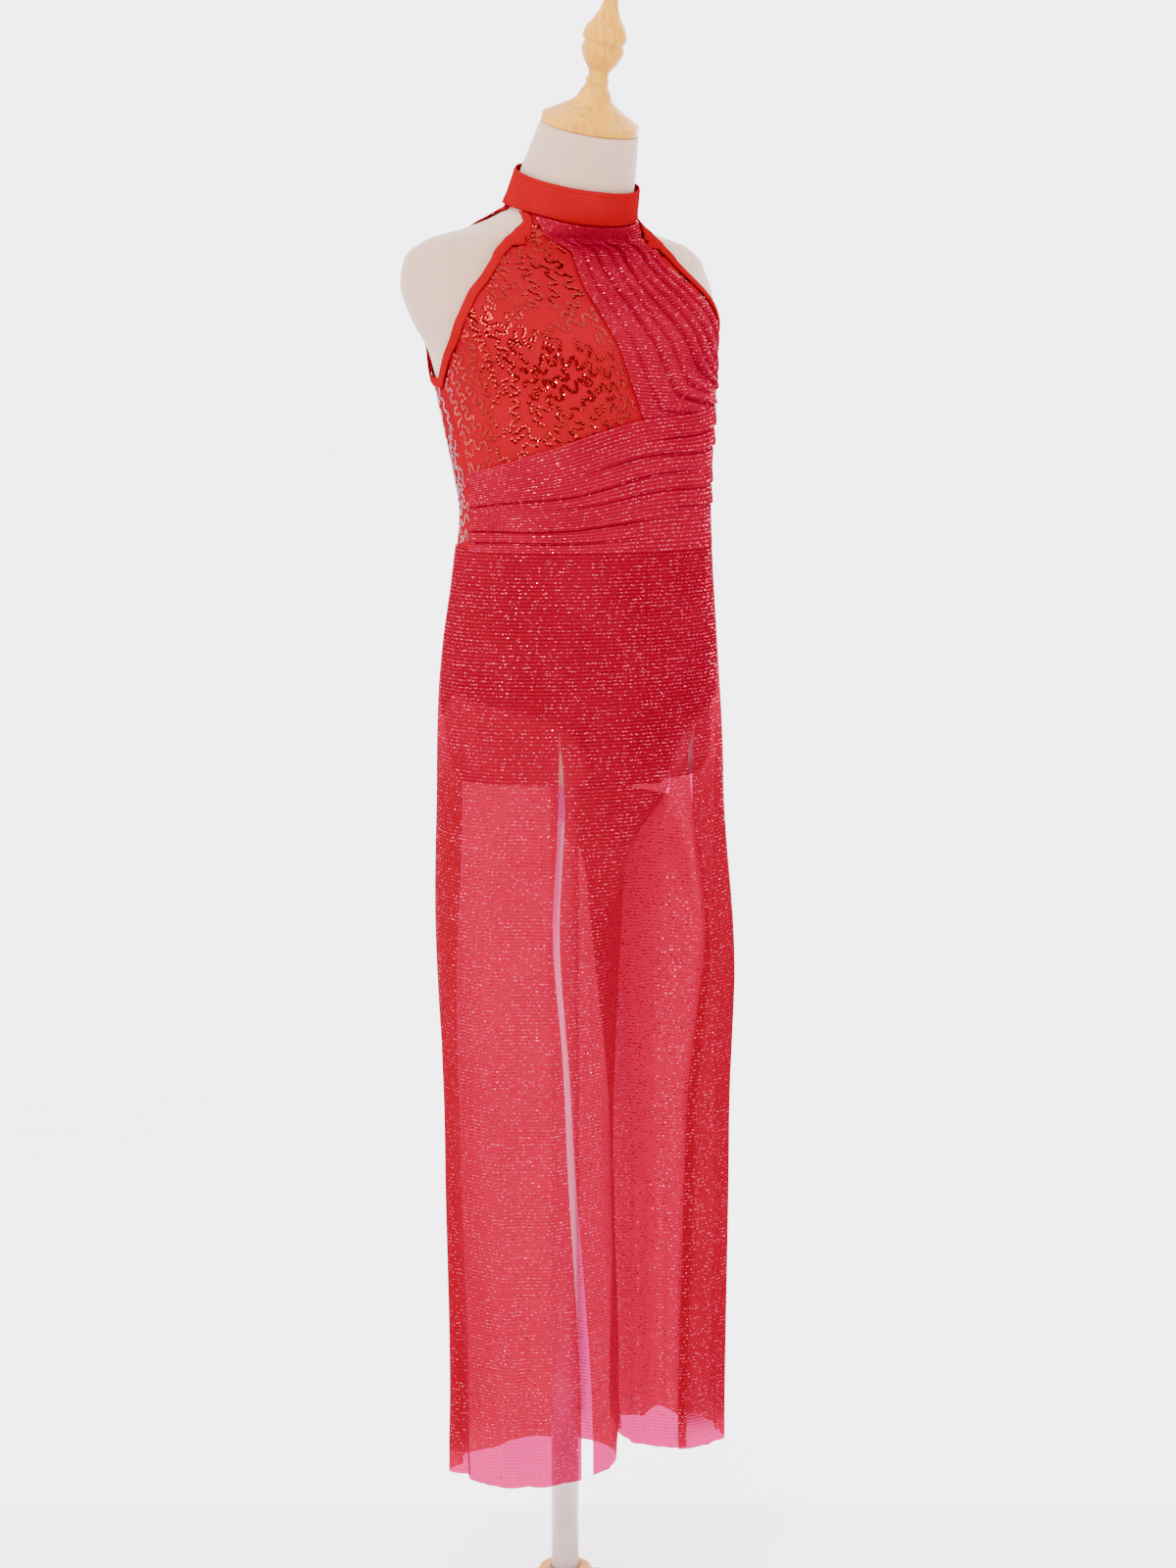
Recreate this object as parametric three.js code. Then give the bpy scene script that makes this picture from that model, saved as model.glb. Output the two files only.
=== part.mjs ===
// Sleeveless dance jumpsuit with a halter collar, standing on a limbless dress form.
// Millimetres, +Z up. The wearer faces -Y, so the wearer's right is -X.
// The origin is the centre of the base, on the floor, and the pole stands on Z.
import * as THREE from 'three';

// Main heights
const BASE_THICKNESS = 9;
const HUB_TOP_Z = 52;
const HEM_Z = 162;
const CROTCH_Z = 775;
const FORM_BOTTOM_Z = 786;
const WAIST_Z = 986;
const NECK_TOP_Z = 1340;

// Cloth and gaps
const CLOTH = 1.2;
const SEAM_GAP = 0.3;
const BODICE_CLEAR = 1.2;
const BRIEF_CLEAR = 1.9;
const DRAPE_CLEAR = BODICE_CLEAR + CLOTH + 0.7;
const BINDING_CLEAR = BODICE_CLEAR + CLOTH + 0.9;
const BINDING_WIDTH = 7.5;
const BINDING_THICKNESS = 1.6;
const COLLAR_CLEAR = 3.6;
const COLLAR_THICKNESS = 1.6;
const COLLAR_BOTTOM_Z = 1270.8;
const COLLAR_TOP_Z = 1299;
const NECK_EDGE_Z = 1269.4;

// Stand
const BASE_RADIUS = 115;
const HUB_RADIUS = 24;
const POLE_RADIUS = 12.5;
const BORE_RADIUS = POLE_RADIUS + 0.3;
const BASE_BORE_Z = 12;
const SOCKET_DEPTH = 60;
const YOKE_RELIEF = 2;

const DEG = Math.PI / 180;

// Form rings: half width a, half depth b, centre y, forward tilt in degrees
const FORM = [
  { z: 786, a: 117, b: 84.5, y: -24, tilt: 0 },
  { z: 800, a: 124, b: 90, y: -24, tilt: 0 },
  { z: 850, a: 128, b: 92.5, y: -24, tilt: 0 },
  { z: 905, a: 126, b: 91, y: -26, tilt: 0 },
  { z: 950, a: 120, b: 88, y: -29, tilt: 0 },
  { z: 987, a: 116, b: 86.5, y: -31, tilt: 0 },
  { z: 1015, a: 114, b: 86, y: -32, tilt: 0 },
  { z: 1050, a: 117, b: 90, y: -28, tilt: 0 },
  { z: 1080, a: 121, b: 94, y: -24, tilt: 0 },
  { z: 1114, a: 126, b: 98, y: -19, tilt: 0 },
  { z: 1150, a: 133, b: 96, y: -12, tilt: 0 },
  { z: 1180, a: 150, b: 82, y: -3, tilt: 0 },
  { z: 1206, a: 158, b: 66, y: 6, tilt: 0 },
  { z: 1230, a: 153, b: 51, y: 10, tilt: 0 },
  { z: 1244, a: 135, b: 45, y: 8, tilt: 2 },
  { z: 1254, a: 100, b: 44, y: 3, tilt: 6 },
  { z: 1262, a: 72, b: 46, y: -3, tilt: 10 },
  { z: 1270, a: 57, b: 49, y: -8, tilt: 12 },
  { z: 1280, a: 52, b: 50, y: -13, tilt: 14 },
  { z: 1300, a: 48.5, b: 48.5, y: -21, tilt: 16 },
  { z: 1320, a: 45, b: 45.5, y: -30, tilt: 17 },
  { z: 1340, a: 41.5, b: 41.5, y: -38, tilt: 17 },
];

// Trouser rings above the crotch: half width, half depth, centre, and where the legs divide
const TROUSERS = [
  { z: 700, a: 136, b: 97, x: 3, y: -24, divide: 26 },
  { z: 785, a: 136, b: 98, x: 3, y: -24, divide: 26 },
  { z: 820, a: 135, b: 97.5, x: 2.5, y: -24, divide: 16 },
  { z: 850, a: 134, b: 96.8, x: 1.5, y: -24, divide: 5 },
  { z: 880, a: 132.4, b: 95.8, x: 0.3, y: -25, divide: 0 },
  { z: 905, a: 130, b: 95, x: 0, y: -26, divide: 0 },
  { z: 950, a: 124.4, b: 92.6, x: 0, y: -29, divide: 0 },
  { z: 986, a: 120.4, b: 90.8, x: 0, y: -31, divide: 0 },
];

// Angles run from the front, positive to the side the piece is on.
// Above the crotch they are turned about the form, below it about the leg.
const LEG_RIGHT = {
  side: -1,
  rings: [
    { z: 162, x: -39, y: -14, a: 75, b: 60 },
    { z: 195, x: -39, y: -15, a: 76, b: 61 },
    { z: 460, x: -52, y: -22, a: 75, b: 68 },
    { z: 600, x: -54.5, y: -23, a: 77.5, b: 80 },
    { z: 775, x: -55, y: -24, a: 80, b: 97 },
  ],
  hip: [
    { z: 700, side: 82, slitOuter: 36, slitInner: 33 },
    { z: 775, side: 82, slitOuter: 36.5, slitInner: 34 },
    { z: 840, side: 82, slitOuter: 36, slitInner: 36 },
    { z: 905, side: 83, slitOuter: 36, slitInner: 36 },
    { z: 986, side: 90, slitOuter: 38, slitInner: 38 },
  ],
  shin: [
    { z: 162, side: 88, slitOuter: -3, slitInner: -15, front: -52 },
    { z: 506, side: 88, slitOuter: 9, slitInner: 3.5, front: -52 },
    { z: 700, side: 86, slitOuter: 28, slitInner: 24, front: -52 },
    { z: 775, side: 84, slitOuter: 32, slitInner: 29, front: -50 },
  ],
  slitLift: { outer: 1.5, inner: -0.5 },
  folds: [
    { top: 62, hem: 50, width: 15, depthTop: 2, depthHem: 4, from: 930 },
    { top: 112, hem: 114, width: 14, depthTop: 0, depthHem: 10, from: 620 },
    { top: 98, hem: 98, width: 9, depthTop: 0, depthHem: -6, from: 560 },
    { top: 18, hem: 24, width: 14, depthTop: 1.5, depthHem: 3.5, from: 900 },
    { top: 135, hem: 146, width: 16, depthTop: 2, depthHem: 6, from: 900 },
    { top: 158, hem: 172, width: 15, depthTop: -1, depthHem: -5, from: 760 },
    { top: 178, hem: 205, width: 18, depthTop: 1, depthHem: 6, from: 700 },
  ],
};
const LEG_LEFT = {
  side: 1,
  rings: [
    { z: 162, x: 108, y: -12, a: 46, b: 54 },
    { z: 195, x: 106, y: -13, a: 47, b: 55 },
    { z: 460, x: 99, y: -22, a: 51, b: 58 },
    { z: 600, x: 91.5, y: -24, a: 53.5, b: 75 },
    { z: 775, x: 83, y: -24, a: 54, b: 97 },
  ],
  hip: [
    { z: 700, side: 82, slitOuter: 21, slitInner: 24 },
    { z: 775, side: 82, slitOuter: 22, slitInner: 21.5 },
    { z: 806, side: 82, slitOuter: 23, slitInner: 20 },
    { z: 840, side: 82, slitOuter: 25, slitInner: 25 },
    { z: 905, side: 83, slitOuter: 26, slitInner: 26 },
    { z: 986, side: 90, slitOuter: 28, slitInner: 28 },
  ],
  shin: [
    { z: 162, side: 88, slitOuter: -31, slitInner: -20, front: -64 },
    { z: 468, side: 88, slitOuter: -24, slitInner: -12, front: -62 },
    { z: 596, side: 88, slitOuter: -16, slitInner: -5, front: -58 },
    { z: 700, side: 86, slitOuter: -6, slitInner: 2, front: -55 },
    { z: 775, side: 84, slitOuter: 0, slitInner: 2, front: -52 },
  ],
  slitLift: { outer: 3.5, inner: -2.5 },
  folds: [
    { top: 40, hem: 34, width: 16, depthTop: 1, depthHem: 5, from: 930 },
    { top: 60, hem: 62, width: 13, depthTop: -1, depthHem: -5, from: 800 },
    { top: 108, hem: 108, width: 14, depthTop: 1, depthHem: 7, from: 860 },
    { top: 122, hem: 122, width: 15, depthTop: -1, depthHem: -9, from: 780 },
    { top: 140, hem: 147, width: 16, depthTop: 2, depthHem: 15, from: 860 },
    { top: 160, hem: 174, width: 15, depthTop: -1, depthHem: -10, from: 760 },
    { top: 180, hem: 202, width: 16, depthTop: 1, depthHem: 12, from: 720 },
    { top: 225, hem: 232, width: 14, depthTop: 0, depthHem: -6, from: 640 },
    { top: -76, hem: -78, width: 11, depthTop: 0, depthHem: 4, from: 640 },
  ],
};

// Armhole edge: angle from the front on the front panel, and from the back on the back panel
const ARMHOLE = [
  { z: 1128, front: 98, back: 82 },
  { z: 1131, front: 96, back: 70 },
  { z: 1140, front: 91, back: 60 },
  { z: 1152, front: 84, back: 53 },
  { z: 1166, front: 73, back: 48 },
  { z: 1182, front: 62, back: 43 },
  { z: 1197, front: 53, back: 39 },
  { z: 1215, front: 43, back: 36 },
  { z: 1230, front: 38, back: 35 },
  { z: 1240, front: 37, back: 36 },
  { z: 1248, front: 39, back: 40 },
  { z: 1255, front: 46, back: 48 },
  { z: 1262, front: 57, back: 59 },
  { z: 1269.4, front: 78, back: 78 },
];
const SIDE_SEAM = [
  { z: 986, t: 90 },
  { z: 1060, t: 91 },
  { z: 1110, t: 95 },
  { z: 1128, t: 98 },
];
const BODICE_ROWS = [987, 1015, 1045, 1075, 1105, 1128, 1140, 1154, 1172, 1190, 1208, 1224, 1238, 1249, 1258, NECK_EDGE_Z];

// Bust drape: its lower and upper edge from the collar to the wearer's left side
const BUST_EDGES = [
  { v: 0, lowT: -63, lowZ: 1269, highT: 54, highZ: 1269 },
  { v: 0.08, lowT: -37, lowZ: 1259, highT: 38, highZ: 1258 },
  { v: 0.16, lowT: -16, lowZ: 1246, highT: 28, highZ: 1248 },
  { v: 0.24, lowT: -8, lowZ: 1230, highT: 28.5, highZ: 1238 },
  { v: 0.36, lowT: -9, lowZ: 1198, highT: 33, highZ: 1216 },
  { v: 0.48, lowT: -9, lowZ: 1168, highT: 41, highZ: 1200 },
  { v: 0.6, lowT: -7, lowZ: 1133, highT: 51, highZ: 1186 },
  { v: 0.7, lowT: 2, lowZ: 1106, highT: 60, highZ: 1170 },
  { v: 0.8, lowT: 28, lowZ: 1101, highT: 70, highZ: 1150 },
  { v: 0.9, lowT: 58, lowZ: 1107, highT: 81, highZ: 1134 },
  { v: 1, lowT: 90.5, lowZ: 1101, highT: 90.5, highZ: 1124 },
];
const BUST_PLEATS = 7;
const BUST_PLEAT_HEIGHT = 3.2;
const BUST_STEPS = 17;

// Waist drape: height of its top edge by the angle from the front, wearer's left positive
const WAIST_TOP = [
  { t: -91, z: 1046 },
  { t: -70, z: 1053 },
  { t: -45, z: 1066 },
  { t: 0, z: 1092 },
  { t: 30, z: 1097 },
  { t: 55, z: 1103 },
  { t: 91, z: 1097 },
];
const WAIST_PLEATS = 7;
const WAIST_PLEAT_HEIGHT = 3;
const WAIST_STEPS = 16;

// One pleat, from its lower edge: how far it stands out, as a share of its height
const PLEAT = [0.2, 1, 0.6];

// Brief leg openings: angle of the front and back panels' edges by height
const BRIEF_FRONT = [
  { z: 985, right: 90, left: 90 },
  { z: 950, right: 90, left: 90 },
  { z: 905, right: 90, left: 90 },
  { z: 880, right: 90, left: 90 },
  { z: 864, right: 86, left: 86 },
  { z: 856, right: 68, left: 68 },
  { z: 850, right: 50, left: 48 },
  { z: 840, right: 37, left: 33 },
  { z: 828, right: 29, left: 23 },
  { z: 814, right: 25, left: 17 },
  { z: 800, right: 24, left: 14 },
  { z: 788, right: 24, left: 13 },
];
const BRIEF_BACK = [
  { z: 985, right: 90, left: 90 },
  { z: 950, right: 90, left: 90 },
  { z: 905, right: 90, left: 90 },
  { z: 880, right: 90, left: 90 },
  { z: 864, right: 87, left: 87 },
  { z: 852, right: 72, left: 72 },
  { z: 838, right: 55, left: 55 },
  { z: 822, right: 40, left: 40 },
  { z: 806, right: 26, left: 28 },
  { z: 788, right: 15, left: 22 },
];
// The gusset under the form passes the pole on the wearer's left
const GUSSET_FRONT = [
  { y: -106.5, right: -47, left: 26 },
  { y: -92, right: -38, left: 32 },
  { y: -70, right: -20, left: 40 },
  { y: -45, right: 6, left: 48 },
  { y: -18.2, right: 15.5, left: 50 },
];
const GUSSET_BACK = [
  { y: 58.5, right: -30, left: 33 },
  { y: 48, right: -20, left: 39 },
  { y: 34, right: -2, left: 46 },
  { y: 10, right: 15.5, left: 50 },
  { y: -17.8, right: 15.5, left: 50 },
];

// Smooth value of one column of a table at a given height or angle
function tableValue(rows, key, at, column) {
  const last = rows.length - 1;
  if (at <= rows[0][key]) return rows[0][column];
  if (at >= rows[last][key]) return rows[last][column];
  let i = 0;
  while (rows[i + 1][key] < at) i += 1;
  const span = rows[i + 1][key] - rows[i][key];
  const slope = (k) => (rows[k + 1][column] - rows[k][column]) / (rows[k + 1][key] - rows[k][key]);
  const here = slope(i);
  const before = i > 0 ? slope(i - 1) : here;
  const after = i < last - 1 ? slope(i + 1) : here;
  const start = before * here > 0 ? (2 * before * here) / (before + here) : 0;
  const end = after * here > 0 ? (2 * after * here) / (after + here) : 0;
  const u = (at - rows[i][key]) / span;
  const p = rows[i][column];
  const q = rows[i + 1][column];
  const curve = (2 * u ** 3 - 3 * u ** 2 + 1) * p + (u ** 3 - 2 * u ** 2 + u) * span * start;
  return curve + (3 * u ** 2 - 2 * u ** 3) * q + (u ** 3 - u ** 2) * span * end;
}

function smooth(low, high, value) {
  const u = Math.min(1, Math.max(0, (value - low) / (high - low)));
  return u * u * (3 - 2 * u);
}

function mix(p, q, u) {
  return p + (q - p) * u;
}

// Point on the form's surface at angle t from the front and ring height z
function formPoint(t, z) {
  const a = tableValue(FORM, 'z', z, 'a');
  const b = tableValue(FORM, 'z', z, 'b');
  const y = tableValue(FORM, 'z', z, 'y');
  const tilt = tableValue(FORM, 'z', z, 'tilt');
  const back = -b * Math.cos(t * DEG);
  return new THREE.Vector3(a * Math.sin(t * DEG), y + back, z + back * Math.tan(tilt * DEG));
}

// The same point moved out along the surface's normal
function skinPoint(t, z, clear) {
  const low = Math.max(z - 1, FORM_BOTTOM_Z);
  const high = Math.min(z + 1, NECK_TOP_Z);
  const around = formPoint(t + 1, z).sub(formPoint(t - 1, z));
  const along = formPoint(t, high).sub(formPoint(t, low));
  return formPoint(t, z).addScaledVector(around.cross(along).normalize(), clear);
}

// A patch is a list of points and triangles; rows of points share the columns they can
class Patch {
  constructor() {
    this.points = [];
    this.triangles = [];
  }

  add(point) {
    this.points.push(point);
    return this.points.length - 1;
  }

  quad(a, b, c, d) {
    const p = this.points;
    const straight = p[a].distanceTo(p[c]) <= p[b].distanceTo(p[d]);
    if (straight) this.triangles.push([a, b, c], [a, c, d]);
    else this.triangles.push([a, b, d], [b, c, d]);
  }

  // Rows of point numbers, bottom row first, each running left to right seen from outside
  weave(rows) {
    for (let j = 0; j < rows.length - 1; j += 1) {
      for (let i = 0; i < rows[j].length - 1; i += 1) {
        this.quad(rows[j][i], rows[j][i + 1], rows[j + 1][i + 1], rows[j + 1][i]);
      }
    }
  }

  // Closed wall of even thickness on the outside of the patch
  wall(thickness) {
    const count = this.points.length;
    const normals = this.points.map(() => new THREE.Vector3());
    const edges = new Map();
    for (const triangle of this.triangles) {
      const [p, q, r] = triangle.map((k) => this.points[k]);
      const face = new THREE.Vector3().subVectors(q, p).cross(new THREE.Vector3().subVectors(r, p)).normalize();
      triangle.forEach((k, n) => {
        const next = this.points[triangle[(n + 1) % 3]];
        const previous = this.points[triangle[(n + 2) % 3]];
        const corner = new THREE.Vector3().subVectors(next, this.points[k]);
        const angle = corner.angleTo(new THREE.Vector3().subVectors(previous, this.points[k]));
        normals[k].addScaledVector(face, angle);
        edges.set(`${k}_${triangle[(n + 1) % 3]}`, [k, triangle[(n + 1) % 3]]);
      });
    }
    const outer = this.points.map((p, k) => p.clone().addScaledVector(normals[k].normalize(), thickness));
    const faces = [];
    for (const [a, b, c] of this.triangles) {
      faces.push([a, c, b], [a + count, b + count, c + count]);
    }
    for (const [a, b] of edges.values()) {
      if (!edges.has(`${b}_${a}`)) {
        faces.push([b + count, a + count, a], [b + count, a, b]);
      }
    }
    return solidGeometry([...this.points, ...outer], faces);
  }
}

function solidGeometry(points, faces) {
  const geometry = new THREE.BufferGeometry();
  const positions = points.flatMap((p) => [p.x, p.y, p.z]);
  geometry.setAttribute('position', new THREE.Float32BufferAttribute(positions, 3));
  geometry.setIndex(faces.flat());
  return geometry.toNonIndexed();
}

function gridWall(rows, thickness, closed = false) {
  const patch = new Patch();
  const numbers = rows.map((row) => row.map((point) => patch.add(point)));
  patch.weave(closed ? numbers.map((row) => [...row, row[0]]) : numbers);
  patch.triangles = patch.triangles.filter(([a, b, c]) => a !== b && b !== c && a !== c);
  return patch.wall(thickness);
}

// Form
function torsoGeometry() {
  const columns = 32;
  const heights = [FORM_BOTTOM_Z, 790, 800, 825, 850, 880, 905, 950, ...BODICE_ROWS, 1278, 1292, 1316, NECK_TOP_Z];
  const ring = (radius, z) => Array.from({ length: columns }, (_, i) => {
    const t = (360 / columns) * i * DEG;
    return new THREE.Vector3(radius * Math.sin(t), -radius * Math.cos(t), z);
  });
  const rings = [
    ring(BORE_RADIUS, FORM_BOTTOM_Z + SOCKET_DEPTH),
    ring(BORE_RADIUS, FORM_BOTTOM_Z),
    ...heights.map((z) => Array.from({ length: columns }, (_, i) => {
      const relief = z >= ARMHOLE[0].z && z <= NECK_EDGE_Z ? -YOKE_RELIEF : 0;
      return skinPoint((360 / columns) * i, z, relief);
    })),
  ];
  const points = rings.flat();
  const faces = [];
  for (let j = 0; j < rings.length - 1; j += 1) {
    for (let i = 0; i < columns; i += 1) {
      const next = (i + 1) % columns;
      const [a, b] = [j * columns + i, j * columns + next];
      faces.push([a, b, b + columns], [a, b + columns, a + columns]);
    }
  }
  const socketEnd = points.push(new THREE.Vector3(0, 0, FORM_BOTTOM_Z + SOCKET_DEPTH)) - 1;
  const topRow = FORM[FORM.length - 1];
  const topEnd = points.push(new THREE.Vector3(0, topRow.y, topRow.z)) - 1;
  const topStart = (rings.length - 1) * columns;
  for (let i = 0; i < columns; i += 1) {
    const next = (i + 1) % columns;
    faces.push([socketEnd, next, i], [topEnd, topStart + i, topStart + next]);
  }
  return solidGeometry(points, faces);
}

function latheGeometry(profile, segments) {
  const outline = profile.map(([radius, height]) => new THREE.Vector2(radius, height));
  return new THREE.LatheGeometry(outline, segments).rotateX(90 * DEG);
}

// Garment pieces on the body
function bodicePanel(front) {
  const columns = 16;
  const gap = 0.15;
  const rows = BODICE_ROWS.map((z) => {
    const seam = tableValue(SIDE_SEAM, 'z', z, 't');
    const onArmhole = z >= ARMHOLE[0].z;
    const edge = tableValue(ARMHOLE, 'z', z, front ? 'front' : 'back');
    const half = onArmhole ? edge - (z === ARMHOLE[0].z ? gap : 0) : (front ? seam : 180 - seam) - gap;
    return Array.from({ length: columns + 1 }, (_, i) => {
      const t = mix(-half, half, i / columns);
      return skinPoint(front ? t : t + 180, z, BODICE_CLEAR);
    });
  });
  return gridWall(rows, CLOTH);
}

// Armhole edge as one run from the collar down the front, under the arm and up the back
function armholeRun(side) {
  const front = [...ARMHOLE].reverse().map((row) => ({ t: row.front, z: row.z }));
  const back = ARMHOLE.slice(1).map((row) => ({ t: 180 - row.back, z: row.z }));
  const stations = [...front, ...back].map((row) => skinPoint(side * row.t, row.z, BINDING_CLEAR));
  return { angles: [...front, ...back], stations };
}

// Step across the body's surface from one of its points by a given length
function surfaceStep(side, t, z, direction, length) {
  const around = skinPoint(side * t + 0.5, z, 0).sub(skinPoint(side * t - 0.5, z, 0));
  const along = skinPoint(side * t, z + 0.5, 0).sub(skinPoint(side * t, z - 0.5, 0));
  const [aa, bb, ab] = [around.dot(around), along.dot(along), around.dot(along)];
  const [ad, bd] = [around.dot(direction) * length, along.dot(direction) * length];
  const det = aa * bb - ab * ab;
  return [side * t + (ad * bb - bd * ab) / det, z + (bd * aa - ad * ab) / det];
}

function bindingGeometry(side) {
  const { angles, stations } = armholeRun(side);
  const curve = new THREE.CatmullRomCurve3(stations, false, 'centripetal');
  const angleCurve = new THREE.CatmullRomCurve3(
    angles.map((row, i) => new THREE.Vector3(row.t, row.z, i)), false, 'centripetal');
  const count = 40;
  const across = [
    { w: -1, lift: 0 },
    { w: BINDING_WIDTH / 2 - 1, lift: 0.5 },
    { w: BINDING_WIDTH - 1, lift: 0 },
  ];
  const rows = across.map(() => []);
  for (let n = 0; n <= count; n += 1) {
    const at = (n / count) * (angles.length - 1);
    const i = Math.min(angles.length - 2, Math.floor(at));
    const u = at - i;
    const curveT = angleCurve.getPoint((i + u) / (angles.length - 1));
    const [t, z] = [curveT.x, Math.min(NECK_EDGE_Z, curveT.y)];
    const parameter = (i + u) / (angles.length - 1);
    const forward = curve.getPoint(Math.min(1, parameter + 0.002)).sub(curve.getPoint(Math.max(0, parameter - 0.002))).normalize();
    const out = skinPoint(side * t, z, 10).sub(skinPoint(side * t, z, 0)).normalize();
    const inward = new THREE.Vector3().crossVectors(forward, out).normalize().multiplyScalar(side);
    across.forEach(({ w, lift }, k) => {
      const [tt, zz] = surfaceStep(side, t, z, inward, w);
      rows[k].push(skinPoint(tt, Math.min(NECK_EDGE_Z - SEAM_GAP, zz), BINDING_CLEAR + lift));
    });
  }
  return gridWall(side > 0 ? [...rows].reverse() : rows, BINDING_THICKNESS);
}

function collarGeometry() {
  const columns = 36;
  const heights = [COLLAR_BOTTOM_Z, mix(COLLAR_BOTTOM_Z, COLLAR_TOP_Z, 0.5), COLLAR_TOP_Z];
  const rows = heights.map((z) => Array.from({ length: columns }, (_, i) => {
    return skinPoint((360 / columns) * i, z, COLLAR_CLEAR);
  }));
  return gridWall(rows, COLLAR_THICKNESS, true);
}

// Height of a run of pleats at a share of the way across them
function pleatRows(pleats) {
  const rows = [{ share: 0, lift: 0 }];
  for (let n = 0; n < pleats; n += 1) {
    PLEAT.forEach((lift, k) => rows.push({ share: (n + (k + 0.6) / PLEAT.length) / pleats, lift }));
  }
  rows.push({ share: 1, lift: 0 });
  return rows;
}

function waistDrape() {
  const half = 90.6;
  const rows = pleatRows(WAIST_PLEATS).map(({ share, lift }, j) => {
    return Array.from({ length: WAIST_STEPS + 1 }, (_, i) => {
      const t = mix(-half, half, i / WAIST_STEPS);
      const top = tableValue(WAIST_TOP, 't', t, 'z');
      const sway = Math.sin(share * Math.PI) * (2.5 * Math.sin(t * DEG * 2.3 + j * 0.4) + 1.5 * Math.sin(t * DEG * 5 + 1));
      const slack = 0.55 + 0.45 * Math.cos((t / half) * 90 * DEG);
      const uneven = 0.8 + 0.35 * Math.sin(j * 1.7 + t * DEG * 1.5);
      return skinPoint(t, mix(WAIST_Z + 1, top, share) + sway, DRAPE_CLEAR + lift * slack * uneven * WAIST_PLEAT_HEIGHT);
    });
  });
  return gridWall(rows, CLOTH);
}

function bustDrape() {
  const rows = pleatRows(BUST_PLEATS).map(({ share, lift }, j) => {
    return Array.from({ length: BUST_STEPS + 1 }, (_, i) => {
      const v = i / BUST_STEPS;
      const t = mix(tableValue(BUST_EDGES, 'v', v, 'lowT'), tableValue(BUST_EDGES, 'v', v, 'highT'), share);
      const z = mix(tableValue(BUST_EDGES, 'v', v, 'lowZ'), tableValue(BUST_EDGES, 'v', v, 'highZ'), share);
      const slack = 0.5 + 0.5 * Math.sin(v * 180 * DEG);
      const uneven = 0.8 + 0.35 * Math.sin(j * 1.9 + v * 3);
      return skinPoint(t, z, DRAPE_CLEAR + 1.4 + lift * slack * uneven * BUST_PLEAT_HEIGHT);
    });
  });
  return gridWall(rows, CLOTH);
}

function briefPanel(edges, gusset, turn) {
  const columns = 12;
  const clear = BRIEF_CLEAR;
  const under = gusset.map(({ y, right, left }) => Array.from({ length: columns + 1 }, (_, i) => {
    const u = turn === 0 ? i / columns : 1 - i / columns;
    return new THREE.Vector3(mix(right, left, u), y, FORM_BOTTOM_Z - clear);
  }));
  const rows = edges.map(({ z, right, left }) => Array.from({ length: columns + 1 }, (_, i) => {
    const [from, to] = turn === 0 ? [-right, left] : [-left, right];
    return skinPoint(mix(from, to, i / columns) * 1 + turn, z, clear);
  }));
  const seam = SEAM_GAP / 2 / 128 / DEG;
  rows.forEach((row, j) => {
    if (edges[j].right === 90) {
      row[0] = skinPoint(turn - 90 + seam, edges[j].z, clear);
      row[columns] = skinPoint(turn + 90 - seam, edges[j].z, clear);
    }
  });
  return gridWall([...under.reverse(), ...rows.reverse()], CLOTH);
}

// Trouser leg: a point on it by height and angle, blended from the hip ring to the leg's own ring
function hipPoint(t, z) {
  const at = (column) => tableValue(TROUSERS, 'z', z, column);
  return new THREE.Vector3(at('x') + at('a') * Math.sin(t * DEG), at('y') - at('b') * Math.cos(t * DEG), z);
}

function legPoint(leg, z, hip, angle, lift = 0) {
  const at = (column) => tableValue(leg.rings, 'z', z, column);
  const turned = leg.side * angle * DEG;
  const round = new THREE.Vector3(at('x') + at('a') * Math.sin(turned), at('y') - at('b') * Math.cos(turned), z);
  const inner = Math.max(smooth(0, -50, angle), smooth(185, 235, angle));
  const blend = smooth(790, mix(590, 715, inner), z);
  const point = hip.clone().lerp(round, blend);
  const out = new THREE.Vector3(point.x - at('x'), point.y - at('y'), 0).normalize();
  let depth = lift;
  for (const fold of leg.folds) {
    const down = Math.min(1, Math.max(0, (fold.from - z) / (fold.from - HEM_Z)));
    const middle = mix(fold.top, fold.hem, down);
    const off = Math.abs(angle - middle) / fold.width;
    if (down > 0 && off < 1) {
      const start = smooth(0, 0.12, down);
      depth += start * mix(fold.depthTop, fold.depthHem, down) * 0.5 * (1 + Math.cos(off * Math.PI));
    }
  }
  return point.addScaledVector(out, depth);
}

const LEG_ROWS = [985.4, 950, 915, 880, 840, 806, 775, 735, 690, 640, 580, 500, 410, 320, 235, 162];
const CROTCH_ROW = LEG_ROWS.indexOf(CROTCH_Z);
const SLIT_ROW = LEG_ROWS.indexOf(840);

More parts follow.
